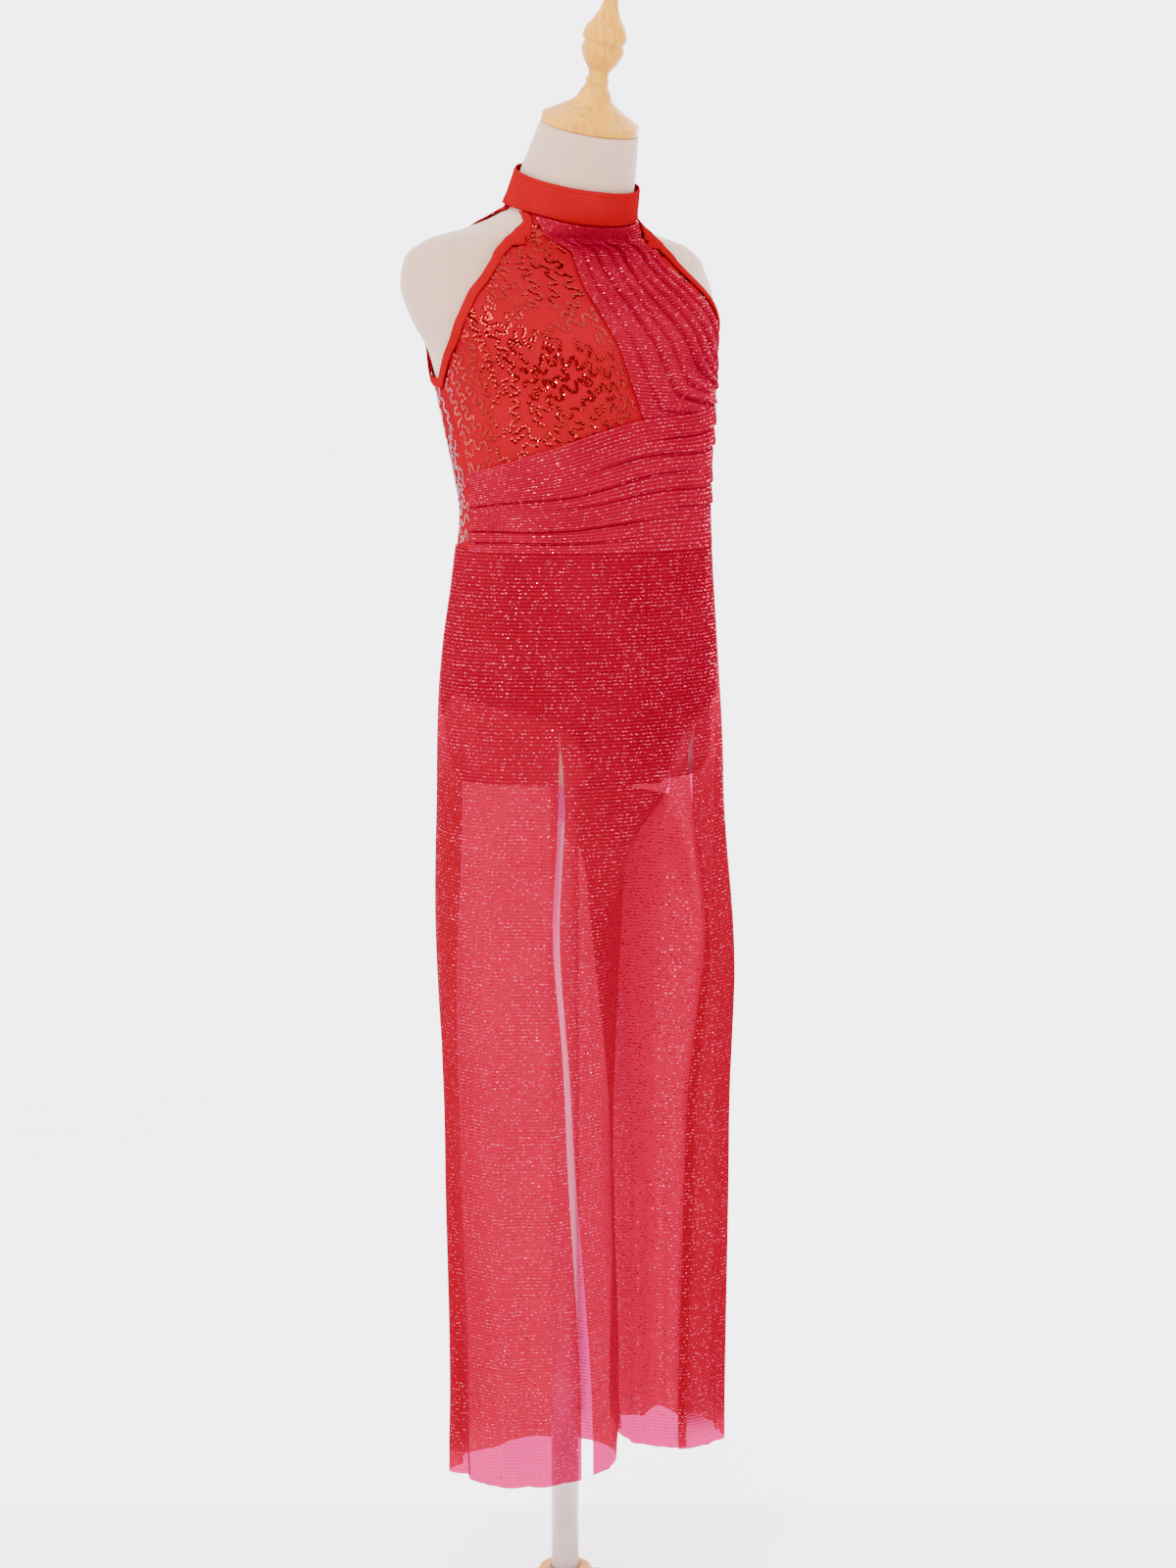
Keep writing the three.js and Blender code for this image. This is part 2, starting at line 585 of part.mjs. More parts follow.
function legPanel(leg, front) {
  const patch = new Patch();
  const seam = SEAM_GAP / 2;
  const outerSteps = front ? (leg.side > 0 ? 11 : 9) : 15;
  const innerSteps = front ? 6 : 0;
  const wallSteps = front ? 5 : 5;
  const outerRows = [];
  const innerRows = [];
  const wallRows = [];
  LEG_ROWS.forEach((z, j) => {
    const hipAt = (column) => tableValue(leg.hip, 'z', z, column);
    const shinAt = (column) => tableValue(leg.shin, 'z', z, column);
    const ring = (column) => tableValue(TROUSERS, 'z', z, column);
    const below = j >= CROTCH_ROW;
    const inset = below ? CLOTH + seam : seam;
    const divideX = ring('divide') + leg.side * inset;
    const divideAngle = (leg.side * Math.asin((divideX - ring('x')) / ring('a'))) / DEG;
    const seamAngle = (seam / ring('a')) / DEG;
    const place = (hipAngle, angle, lift) => legPoint(leg, z, hipPoint(leg.side * hipAngle, z), angle, lift);
    const lifted = j > SLIT_ROW ? smooth(790, 680, z) : 0;
    const slitOuter = hipAt('slitOuter');
    const sideHip = front ? hipAt('side') - seamAngle : hipAt('side') + seamAngle;
    const sideShin = front ? shinAt('side') - seamAngle : shinAt('side') + seamAngle;
    const endHip = front ? slitOuter : 180 - divideAngle;
    const endShin = front ? shinAt('slitOuter') : 360 + shinAt('front') - 78;
    const outerRow = [];
    for (let i = 0; i <= outerSteps; i += 1) {
      const u = i / outerSteps;
      const nearSlit = front ? smooth(1 - 2.5 / outerSteps, 1, u) * lifted * leg.slitLift.outer : 0;
      outerRow.push(patch.add(place(mix(sideHip, endHip, u), mix(sideShin, endShin, u), nearSlit)));
    }
    outerRows.push(outerRow);
    let corner = outerRow[outerSteps];
    let cornerShin = endShin;
    if (front) {
      const innerRow = [];
      for (let i = 0; i <= innerSteps; i += 1) {
        const u = i / innerSteps;
        const nearSlit = smooth(2.5 / innerSteps, 0, u) * lifted * leg.slitLift.inner;
        const hipAngle = mix(hipAt('slitInner'), divideAngle, u);
        const angle = mix(shinAt('slitInner'), shinAt('front'), u);
        if (i === 0 && j <= SLIT_ROW) innerRow.push(outerRow[outerSteps]);
        else innerRow.push(patch.add(place(hipAngle, angle, nearSlit)));
      }
      innerRows.push(innerRow);
      corner = innerRow[innerSteps];
      cornerShin = shinAt('front');
    }
    if (below) {
      const cornerHip = hipPoint(leg.side * (front ? divideAngle : 180 - divideAngle), z);
      const middle = new THREE.Vector3(divideX, ring('y') + (front ? -seam : seam), z);
      const endAngle = front ? -95 - seamAngle * -1 : 265 - seamAngle;
      const wallRow = [corner];
      for (let i = 1; i <= wallSteps; i += 1) {
        const u = i / wallSteps;
        const flat = cornerHip.clone().lerp(middle, u);
        wallRow.push(patch.add(legPoint(leg, z, flat, mix(cornerShin, endAngle, u))));
      }
      wallRows.push(wallRow);
    }
  });
  for (const rows of [outerRows, innerRows, wallRows]) {
    const upward = [...rows].reverse();
    const flip = (leg.side > 0) === front;
    patch.weave(flip ? upward.map((row) => [...row].reverse()) : upward);
  }
  return patch.wall(CLOTH);
}

// Stand and finial
const BASE_PROFILE = [
  [0, 0], [BASE_RADIUS - 2, 0], [BASE_RADIUS, 2], [BASE_RADIUS, 4], [BASE_RADIUS - 3, 6], [BASE_RADIUS - 10, 7.5],
  [BASE_RADIUS - 25, BASE_THICKNESS], [HUB_RADIUS + 16, BASE_THICKNESS + 3], [HUB_RADIUS + 6, 19], [HUB_RADIUS + 2, 28],
  [HUB_RADIUS, 40], [HUB_RADIUS, HUB_TOP_Z - 3], [HUB_RADIUS - 3, HUB_TOP_Z], [BORE_RADIUS, HUB_TOP_Z],
  [BORE_RADIUS, BASE_BORE_Z], [0, BASE_BORE_Z],
];
const FINIAL_PROFILE = [
  [0, 0], [41, 0], [42, 1.5], [42, 6.5], [40.5, 8], [16, 24], [13.4, 30], [9.8, 36], [9.6, 41], [8.5, 45], [11.5, 52],
  [16.5, 60], [18.2, 66], [17.4, 72], [19, 79], [16, 86], [10.8, 94], [7.2, 103], [6.2, 109], [9.4, 113], [11, 120],
  [8.4, 127.5], [4, 130.4], [0, 131],
];
const FINIAL_TILT = 17 * DEG;

const material = (name, color, roughness, metalness = 0) => {
  return new THREE.MeshStandardMaterial({ name, color, roughness, metalness, side: THREE.DoubleSide });
};
const smoothRed = material('red_knit', 0xe30a12, 0.45);
const sequinRed = material('red_sequin', 0xc91014, 0.3, 0.4);
const meshRed = material('glitter_mesh', 0xe83a58, 0.5);
const briefRed = material('brief_knit', 0xd41027, 0.6);
const linen = material('linen', 0xdfcdc3, 0.9);
const wood = material('turned_wood', 0xdcb287, 0.45);
const paint = material('pole_paint', 0xd0c5c4, 0.35);

const jumpsuit = new THREE.Group();

function addPiece(name, geometry, pieceMaterial) {
  const mesh = new THREE.Mesh(geometry, pieceMaterial.clone());
  geometry.computeVertexNormals();
  mesh.name = name;
  jumpsuit.add(mesh);
  return mesh;
}

addPiece('collar', collarGeometry(), smoothRed);
addPiece('bodice_front', bodicePanel(true), sequinRed);
addPiece('bodice_back', bodicePanel(false), sequinRed);
addPiece('binding_right', bindingGeometry(-1), smoothRed);
addPiece('binding_left', bindingGeometry(1), smoothRed);
addPiece('drape_bust', bustDrape(), meshRed);
addPiece('drape_waist', waistDrape(), meshRed);
addPiece('brief_front', briefPanel(BRIEF_FRONT, GUSSET_FRONT, 0), briefRed);
addPiece('brief_back', briefPanel(BRIEF_BACK, GUSSET_BACK, 180), briefRed);
addPiece('leg_right_front', legPanel(LEG_RIGHT, true), meshRed);
addPiece('leg_right_back', legPanel(LEG_RIGHT, false), meshRed);
addPiece('leg_left_front', legPanel(LEG_LEFT, true), meshRed);
addPiece('leg_left_back', legPanel(LEG_LEFT, false), meshRed);
addPiece('form_torso', torsoGeometry(), linen);

const finial = addPiece('neck_finial', latheGeometry(FINIAL_PROFILE, 20), wood);
const neckEnd = FORM[FORM.length - 1];
const finialAxis = new THREE.Vector3(0, -Math.sin(FINIAL_TILT), Math.cos(FINIAL_TILT));
finial.position.set(0, neckEnd.y, neckEnd.z).addScaledVector(finialAxis, SEAM_GAP);
finial.rotation.x = FINIAL_TILT;

const poleBottom = BASE_BORE_Z + SEAM_GAP;
const poleTop = FORM_BOTTOM_Z + SOCKET_DEPTH - SEAM_GAP;
const pole = addPiece('stand_pole', new THREE.CylinderGeometry(POLE_RADIUS, POLE_RADIUS, poleTop - poleBottom, 32), paint);
pole.rotation.x = 90 * DEG;
pole.position.z = (poleTop + poleBottom) / 2;

addPiece('stand_base', latheGeometry(BASE_PROFILE, 36), wood);

export default jumpsuit;
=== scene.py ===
# %% [markdown]
# # A dance jumpsuit on a dress form
# The lesson dresses a plain CAD model of a child's halter-neck jumpsuit. Every soft solid of the model is replaced
# by a finer sheet that follows the same named sizes, and every hard part by a smooth turned or lofted one. Sizes are
# written in millimetres, as a cutter would, and turned to metres when a mesh is made.

# %% Load the frame and the tools
import math
import bpy
import bmesh
import numpy as np
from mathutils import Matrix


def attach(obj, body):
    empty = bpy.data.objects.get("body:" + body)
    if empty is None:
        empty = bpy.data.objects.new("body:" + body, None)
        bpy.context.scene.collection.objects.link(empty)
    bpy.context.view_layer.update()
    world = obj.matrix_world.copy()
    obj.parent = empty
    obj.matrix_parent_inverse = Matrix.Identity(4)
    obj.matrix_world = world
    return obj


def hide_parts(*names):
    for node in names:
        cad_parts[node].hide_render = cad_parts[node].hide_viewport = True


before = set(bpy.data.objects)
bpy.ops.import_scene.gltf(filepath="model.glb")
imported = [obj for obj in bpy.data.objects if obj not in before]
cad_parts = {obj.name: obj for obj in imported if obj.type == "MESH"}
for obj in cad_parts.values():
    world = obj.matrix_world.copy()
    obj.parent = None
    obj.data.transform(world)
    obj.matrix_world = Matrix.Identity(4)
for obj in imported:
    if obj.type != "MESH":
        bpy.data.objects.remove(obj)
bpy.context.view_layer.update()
MM = 0.001
DEG = math.pi / 180

# %% [markdown]
# ## Camera and room
# The photograph was taken with a long lens from the wearer's right front, a little above the waist and tipped down.
# A long lens keeps the near and far leg almost the same size, so the camera stands well back.

# %% Camera
CAMERA_AZIMUTH = -35.0
CAMERA_DISTANCE = 2.75
CAMERA_HEIGHT = 1.142
CAMERA_PITCH = 7.65
CAMERA_YAW = 0.435
LENS = 72.0


def make_camera():
    data = bpy.data.cameras.new("camera")
    camera = bpy.data.objects.new("camera", data)
    bpy.context.scene.collection.objects.link(camera)
    turn = CAMERA_AZIMUTH * DEG
    camera.location = (CAMERA_DISTANCE * math.sin(turn), -CAMERA_DISTANCE * math.cos(turn), CAMERA_HEIGHT)
    camera.rotation_euler = ((90 - CAMERA_PITCH) * DEG, 0, (CAMERA_AZIMUTH - CAMERA_YAW) * DEG)
    data.lens, data.sensor_width, data.clip_start = LENS, 36, 0.05
    bpy.context.scene.camera = camera
    print("camera at", [round(c, 3) for c in camera.location])


make_camera()

# %% [markdown]
# ## Material helpers
# A finish is a small node tree. These helpers add nodes by name and join sockets, so each finish below reads as a
# short list of what it mixes, and a sum of patterns is written as a sum. Patterns are read from the piece's own UV
# map, which is laid out in metres, or from Object coordinates, which are metres too.

# %% Node helpers


class Value:
    """A node's output that can be added, subtracted and multiplied like a number."""

    def __init__(self, nodes, socket):
        self.nodes, self.socket = nodes, socket

    def maths(self, operation, other):
        node = self.nodes.add("ShaderNodeMath", {0: self, 1: other}, operation=operation)
        return Value(self.nodes, node.outputs[0])

    def __add__(self, other):
        return self.maths("ADD", other)

    def __sub__(self, other):
        return self.maths("SUBTRACT", other)

    def __mul__(self, other):
        return self.maths("MULTIPLY", other)

    def above(self, limit):
        return self.maths("GREATER_THAN", limit)

    def larger(self, other):
        return self.maths("MAXIMUM", other)

    def held(self):
        return self.larger(0.0).maths("MINIMUM", 1.0)


class Nodes:
    """A node tree built one node at a time."""

    def __init__(self, tree):
        self.tree = tree

    def add(self, kind, feeds=None, **settings):
        """A new node. Settings are its own options, and inputs by name. Feeds are inputs by number."""
        node = self.tree.nodes.new(kind)
        for key, value in settings.items():
            if hasattr(node, key):
                setattr(node, key, value)
        inputs = {key.replace("_", " "): value for key, value in settings.items() if not hasattr(node, key)}
        for key, source in {**(feeds or {}), **inputs}.items():
            self.feed(node.inputs[key], source)
        return node

    def feed(self, socket, source):
        """Join a socket to a node's output, or set it to a constant."""
        source = source.socket if isinstance(source, Value) else source
        if isinstance(source, bpy.types.NodeSocket):
            self.tree.links.new(source, socket)
        else:
            socket.default_value = source

    def places(self, kind="Object"):
        return self.add("ShaderNodeTexCoord").outputs[kind]

    def stretched(self, scale, kind="Object"):
        return self.add("ShaderNodeMapping", Vector=self.places(kind), Scale=scale).outputs[0]

    def texture(self, kind, place=None, **settings):
        place = self.places() if place is None else place
        return Value(self, self.add(kind, Vector=place, **settings).outputs["Fac"])

    def noise(self, scale, detail, place=None, **settings):
        return self.texture("ShaderNodeTexNoise", place, Scale=scale, Detail=detail, **settings)

    def wave(self, direction, scale, distortion, place=None):
        return self.texture("ShaderNodeTexWave", place, bands_direction=direction, Scale=scale, Distortion=distortion)

    def kept(self, name):
        """A number that the mesh keeps at each of its points."""
        return Value(self, self.add("ShaderNodeAttribute", attribute_name=name).outputs["Fac"])

    def blend(self, share, first, second):
        """Two colours mixed by a share from 0 to 1."""
        return self.add("ShaderNodeMix", {0: share, 6: first, 7: second}, data_type="RGBA").outputs[2]

    def mixed(self, share, first, second):
        """Two shaders mixed by a share from 0 to 1."""
        return self.add("ShaderNodeMixShader", {0: share, 1: first, 2: second}).outputs[0]

    def vectors(self, operation, *feeds, **inputs):
        return self.add("ShaderNodeVectorMath", dict(enumerate(feeds)), operation=operation, **inputs).outputs


class Finish(Nodes):
    """A material whose tree starts with its Principled shader."""

    def __init__(self, name, **sockets):
        self.material = bpy.data.materials.new(name)
        self.material.use_nodes = True
        super().__init__(self.material.node_tree)
        self.shader = self.tree.nodes["Principled BSDF"]
        for socket, value in sockets.items():
            self.feed(self.shader.inputs[socket.replace("_", " ")], value)

    def ramp(self, source, stops):
        node = self.add("ShaderNodeValToRGB", Fac=source)
        elements = node.color_ramp.elements
        while len(elements) < len(stops):
            elements.new(0.5)
        for element, (position, colour) in zip(elements, stops):
            element.position = position
            element.color = (*colour, 1)
        return node.outputs["Color"]

    def colour(self, source):
        self.feed(self.shader.inputs["Base Color"], source)

    def surface(self, source):
        self.feed(self.tree.nodes["Material Output"].inputs["Surface"], source)

    def bump(self, height, strength, distance):
        node = self.add("ShaderNodeBump", Height=height, Strength=strength, Distance=distance)
        self.feed(self.shader.inputs["Normal"], node.outputs["Normal"])


print("node helpers ready")

# %% [markdown]
# ## Meshes from rows of points
# Cloth is built as rows of points. The rows become quads, and the UV map holds the distance along each row and up
# the rows, in metres, so that a knit or a print keeps its true scale on a curved body.

# %% Grid meshes
WELD = 0.04 * MM


def rows(names, *values):
    """Rows of numbers as dictionaries, under the names given for the columns."""
    return [dict(zip(names.split(), row)) for row in values]


def table(lines, column, at):
    """A column at places of the table's first column, as a smooth curve that doesn't overshoot its rows."""
    x, y = (np.array([row[name] for row in lines], float) for name in (next(iter(lines[0])), column))
    slope = np.diff(y) / np.diff(x)
    tangent = np.concatenate([[slope[0]], np.zeros(len(x) - 2), [slope[-1]]])
    same = slope[:-1] * slope[1:] > 0
    total = np.where(same, slope[:-1] + slope[1:], 1)
    tangent[1:-1] = np.where(same, 2 * slope[:-1] * slope[1:] / total, 0)
    at = np.clip(np.asarray(at, float), x[0], x[-1])
    i = np.clip(np.searchsorted(x, at, side="right") - 1, 0, len(x) - 2)
    span = x[i + 1] - x[i]
    u = (at - x[i]) / span
    curve = (2 * u**3 - 3 * u**2 + 1) * y[i] + (u**3 - 2 * u**2 + u) * span * tangent[i]
    return curve + (3 * u**2 - 2 * u**3) * y[i + 1] + (u**3 - u**2) * span * tangent[i + 1]


def columns(lines, names, at):
    """Several columns of a table at once."""
    return [table(lines, name, at) for name in names.split()]


def smooth(low, high, value):
    u = np.clip((np.asarray(value, float) - low) / (high - low), 0, 1)
    return u * u * (3 - 2 * u)


def mix(p, q, u):
    return p + (q - p) * u


def point(*parts):
    return np.stack(np.broadcast_arrays(*parts), axis=-1)


def unit(vectors):
    return vectors / np.linalg.norm(vectors, axis=-1, keepdims=True)


def place_object(name, data):
    item = bpy.data.objects.new(name, data)
    bpy.context.scene.collection.objects.link(item)
    return item


def link(name, mesh, finish, shade=True):
    piece = place_object(name, mesh)
    if not mesh.materials:
        mesh.materials.append(finish.material)
    mesh.polygons.foreach_set("use_smooth", [shade] * len(mesh.polygons))
    return piece


def lengths(grid):
    """How far each point of a grid lies along its row and up its column, in metres."""
    across = np.linalg.norm(np.diff(grid, axis=1), axis=2)
    upward = np.linalg.norm(np.diff(grid, axis=0), axis=2).mean(axis=1)
    u = np.concatenate([np.zeros((len(grid), 1)), np.cumsum(across, axis=1)], axis=1)
    v = np.concatenate([[0], np.cumsum(upward)])[:, None] + np.zeros_like(u)
    return u * MM, v * MM


def edit(mesh, action):
    """Change a mesh through bmesh."""
    work = bmesh.new()
    work.from_mesh(mesh)
    action(work)
    work.to_mesh(mesh)
    work.free()


def keep(mesh, name, values, kind="FLOAT", field="value"):
    """Keep a number or a direction at each point of a mesh."""
    kept = mesh.attributes.new(name, kind, "POINT")
    kept.data.foreach_set(field, np.concatenate([part.ravel() for part in values]).astype(np.float32))


def cloth(name, grids, finish, maps=None, closed=False, **kept):
    """One sheet from one or more grids of rows, joined where their edges meet.

    kept holds numbers for the sheet's material, an array for each grid: how tightly the mesh is drawn together
    (dense) or how deep in a fold it lies, which the material darkens as painted crease shade, from 0 to 1.
    """
    vertices, faces, uvs, start = [], [], [], 0
    for k, grid in enumerate(grids):
        high, wide = grid.shape[:2]
        u, v = lengths(grid) if maps is None else maps[k]
        number = np.arange(high * wide).reshape(high, wide) + start
        if closed:
            number = np.concatenate([number, number[:, :1]], axis=1)
        quads = point(number[:-1, :-1], number[:-1, 1:], number[1:, 1:], number[1:, :-1]).reshape(-1, 4)
        vertices.append(grid.reshape(-1, 3) * MM)
        uvs.append(point(u, v).reshape(-1, 2))
        faces.append(quads)
        start += high * wide
    vertices, faces, uvs = map(np.concatenate, (vertices, faces, uvs))
    mesh = bpy.data.meshes.new(name)
    mesh.from_pydata(vertices.tolist(), [], faces.tolist())
    corner = np.zeros(len(mesh.loops), np.int32)
    mesh.loops.foreach_get("vertex_index", corner)
    mesh.uv_layers.new(name="UVMap").data.foreach_set("uv", uvs[corner].astype(np.float32).ravel())
    for key, values in kept.items():
        keep(mesh, key, values)
    edit(mesh, lambda work: bmesh.ops.remove_doubles(work, verts=work.verts, dist=WELD))
    return link(name, mesh, finish)


def thicken(sheet, thickness):
    """Give a sheet its thickness, inward from the surface that shows."""
    wall = sheet.modifiers.new("wall", "SOLIDIFY")
    wall.thickness, wall.offset = thickness * MM, -1


def dress(piece, slot, *nodes):
    """Fix a piece to the part's body, in the place of the CAD nodes named. The slot argument is not used."""
    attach(piece, "root")
    if nodes:
        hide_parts(*nodes)
    piece.data.calc_loop_triangles()
    print(piece.name, len(piece.data.loop_triangles), "triangles")


print("grid helpers ready")

# %% [markdown]
# ## The dress form's shape
# The form is a stack of oval rings with a tilt where the neck leans forward. Everything worn on it is measured
# outward from this surface, so one function that gives a point at an angle and a height carries the whole garment.

# %% Form rings
FORM_BOTTOM = 786
NECK_TOP = 1340
FORM = rows("z a b y tilt",
    (786, 117, 84.5, -24, 0), (800, 124, 90, -24, 0), (850, 128, 92.5, -24, 0), (905, 126, 91, -26, 0),
    (950, 120, 88, -29, 0), (987, 116, 86.5, -31, 0), (1015, 114, 86, -32, 0), (1050, 117, 90, -28, 0),
    (1080, 121, 94, -24, 0), (1114, 126, 98, -19, 0), (1150, 133, 96, -12, 0), (1180, 150, 82, -3, 0),
    (1206, 158, 66, 6, 0), (1230, 153, 51, 10, 0), (1244, 135, 45, 8, 2), (1254, 100, 44, 3, 6),
    (1262, 72, 46, -3, 10), (1270, 57, 49, -8, 12), (1280, 52, 50, -13, 14), (1300, 48.5, 48.5, -21, 16),
    (1320, 45, 45.5, -30, 17), (1340, 41.5, 41.5, -38, 17))


def form_point(t, z):
    turn = np.asarray(t, float) * DEG
    wide, deep, y, tilt = columns(FORM, "a b y tilt", z)
    back = -deep * np.cos(turn)
    return point(wide * np.sin(turn), y + back, z + back * np.tan(tilt * DEG))


def skin_point(t, z, clear):
    """A point held clear of the form by the given distance, along its surface's normal."""
    t, z = np.asarray(t, float), np.asarray(z, float)
    around = form_point(t + 1, z) - form_point(t - 1, z)
    along = form_point(t, np.minimum(z + 1, NECK_TOP)) - form_point(t, np.maximum(z - 1, FORM_BOTTOM))
    return form_point(t, z) + unit(np.cross(around, along)) * np.asarray(clear, float)[..., None]


print("shoulder half width", round(float(form_point(90, 1206)[0]), 1), "mm")

# %% [markdown]
# ## Linen
# The form's cover is a plain weave. Two crossed wave patterns make the threads, and a slow noise makes some threads
# thicker, as in real linen. At the photograph's distance it is read as a fine, slightly mottled cream.

# %% Linen finish
LINEN_THREADS = 420.0


def linen_finish():
    linen = Finish("linen", Roughness=0.92, Sheen_Weight=0.15)
    slub, mottle = linen.noise(260.0, 4.0), linen.noise(9.0, 3.0)
    thread = linen.wave("Z", LINEN_THREADS, 1.5) * 0.5 + linen.wave("X", LINEN_THREADS, 1.5) * 0.5
    tone = mottle * 0.5 + slub * 0.35 + thread * 0.15
    linen.colour(linen.ramp(tone, [(0.3, (0.30, 0.180, 0.125)), (0.7, (0.375, 0.238, 0.166))]))
    linen.bump(thread + slub, 0.25, 0.0004)
    return linen


linen = linen_finish()
print("linen", len(linen.tree.nodes), "nodes")

# %% [markdown]
# ## The form's body
# The rings are lofted finely. Each arm stub has a cap sewn on round its end, whose seam shows as a thin groove with
# a slight roll on both sides. The flat underside has a socket for the pole.

# %% Form body
CAP_SEAM_X = 131
SHOULDER_LINE = 1206
SOCKET_RADIUS, SOCKET_DEPTH = 12.8, 60


def seam_dip(distance, depth, width):
    """A sewn seam's groove with a soft roll on each side."""
    roll = np.exp(-(((np.abs(distance) - 2.4 * width) / width) ** 2))
    return -depth * np.exp(-((distance / width) ** 2)) + 0.35 * depth * roll


def form_body():
    heights = np.concatenate([
        [786, 787, 788.5, 791, 795, 800], np.arange(806, 1120, 6), np.arange(1120, 1250, 2.5),
        np.arange(1250, 1284, 1.5), np.arange(1284, 1340, 4), [1340],
    ])
    t = np.linspace(0, 360, 144, endpoint=False)[None, :]
    z = heights[:, None]
    bare = form_point(t, z)
    side = np.abs(bare[..., 0]) + 0.25 * (z - SHOULDER_LINE) * (z > 1150)
    dip = seam_dip(side - CAP_SEAM_X, 0.9, 1.6) * smooth(1158, 1172, z)
    pressed = np.where((z >= 1128) & (z <= 1266), -0.6 * smooth(112, 98, np.abs(bare[..., 0])), 0)
    grid = skin_point(t, z, dip + pressed)
    ring = lambda radius, height: point(radius * np.sin(t[0] * DEG), -radius * np.cos(t[0] * DEG), height)
    socket = [ring(radius, FORM_BOTTOM + depth) for radius, depth in
              ((0.01, SOCKET_DEPTH), (SOCKET_RADIUS, SOCKET_DEPTH), (SOCKET_RADIUS, 0))]
    under = mix(socket[-1], grid[0], 0.5)
    centre = np.array([0, FORM[-1]["y"], FORM[-1]["z"]], float)
    top = [mix(grid[-1], centre, u) for u in (0.5, 0.999)]
    return cloth("form_cover", [np.concatenate([np.stack(socket + [under]), grid, np.stack(top)])], linen, closed=True)


dress(form_body(), "linen", "form_torso")

# %% [markdown]
# ## Turned wood and painted tube
# The neck cap, finial and base are turned on a lathe, so their grain runs in long streaks along the axis with
# stretched rings across it. The pole is a satin painted tube. Above its foot its colour is painted lighter as painted
# light, for the light that falls on it through the slits of the legs.

# %% Wood and paint finishes
LONG_GRAIN = (60, 60, 9)
PORES = (900, 900, 60)
# Painted light: above this height the pole's colour blends to a lighter cream, standing for light through the leg
# slits.
PAINTED_LIGHT_FROM, PAINTED_LIGHT_BLEND = 0.17, 20.0


def wood_finish():
    wood = Finish("turned_wood", Roughness=0.5, Specular_IOR_Level=0.12, Coat_Weight=0.06, Coat_Roughness=0.2)
    grain = wood.noise(3.0, 8.0, wood.stretched(LONG_GRAIN), Distortion=0.6)
    flecks = wood.noise(1.0, 3.0, wood.stretched(PORES))
    stops = [(0.3, (0.30, 0.115, 0.002)), (0.5, (0.40, 0.175, 0.005)), (0.72, (0.50, 0.25, 0.012))]
    wood.colour(wood.ramp(grain * 0.75 + flecks * 0.25, stops))
    wood.bump(flecks, 0.12, 0.0003)
    return wood


def paint_finish():
    paint = Finish("pole_paint", Roughness=0.3, Coat_Weight=0.4)
    mottled_paint = paint.ramp(paint.noise(14.0, 3.0), [(0.35, (0.38, 0.325, 0.31)), (0.65, (0.44, 0.38, 0.365))])
    height = Value(paint, paint.add("ShaderNodeSeparateXYZ", Vector=paint.places()).outputs[2])
    # Painted light: the paint turns lighter above 0.17 m, standing for the light that falls on the pole through the leg
    # slits.
    paint.colour(paint.blend(((height - PAINTED_LIGHT_FROM) * PAINTED_LIGHT_BLEND).held(), mottled_paint, (0.92, 0.90, 0.86, 1)))
    paint.bump(paint.noise(600.0, 2.0), 0.06, 0.0002)
    return paint


wood = wood_finish()
paint = paint_finish()
print("wood and paint ready")

# %% [markdown]
# ## Turned pieces
# A lathe profile is a list of radius and height, with short steps where it curves. A helper sweeps it round the
# axis, the way a turner's tool follows the template. The finial leans back with the neck.

# %% Turned pieces
BASE_PROFILE = [
    (0, 0), (113, 0), (114.4, 0.6), (115, 2), (115, 4), (114, 5.2), (112, 6), (105, 7.5), (90, 9), (60, 10.8), (40, 12),
    (34, 14.6), (30, 19), (27.4, 24), (26, 28), (24.6, 34), (24, 40), (24, 49), (23, 51.2), (21, 52), (12.8, 52),
    (12.8, 12), (0, 12),
]
FINIAL_PROFILE = [
    (0, 0), (41, 0), (41.8, 0.6), (42, 1.5), (42, 6.5), (41.6, 7.6), (40.5, 8), (28, 15.5), (20, 20.5), (16, 24),
    (14.4, 27), (13.4, 30), (11.2, 33.5), (9.8, 36), (9.4, 38), (10.2, 39.5), (10, 41), (8.8, 42.4), (8.4, 45),
    (9.2, 48.4), (11.5, 52), (14.4, 56), (16.5, 60), (17.9, 63.5), (18.2, 66), (17.8, 69), (16.6, 71.4), (16.8, 72.8),
    (18.6, 74.4), (19, 77), (18.4, 80.5), (16, 86), (13.2, 90), (10.8, 94), (8.6, 98.5), (7.2, 103), (6.3, 107),
    (6.2, 109), (7.4, 111), (9.4, 113), (10.7, 116.5), (11, 120), (10.2, 124), (8.4, 127.5), (6.2, 129.4),
    (4, 130.4), (0, 131),
]
POLE_PROFILE = [(0, 12.3), (12, 12.3), (12.5, 12.8), (12.5, 400), (12.5, 845), (12, 845.7), (0, 845.7)]
FINIAL_TILT = 17
ON_AXIS = 0.01


def turned(name, profile, finish, sides):
    t = np.linspace(0, 360, sides, endpoint=False) * DEG
    steps = [(max(radius, ON_AXIS), height) for radius, height in profile]
    grid = [point(radius * np.sin(t), -radius * np.cos(t), height + 0 * t) for radius, height in steps]
    piece = cloth(name, [np.stack(grid)], finish, closed=True)
    piece.data.validate()
    return piece


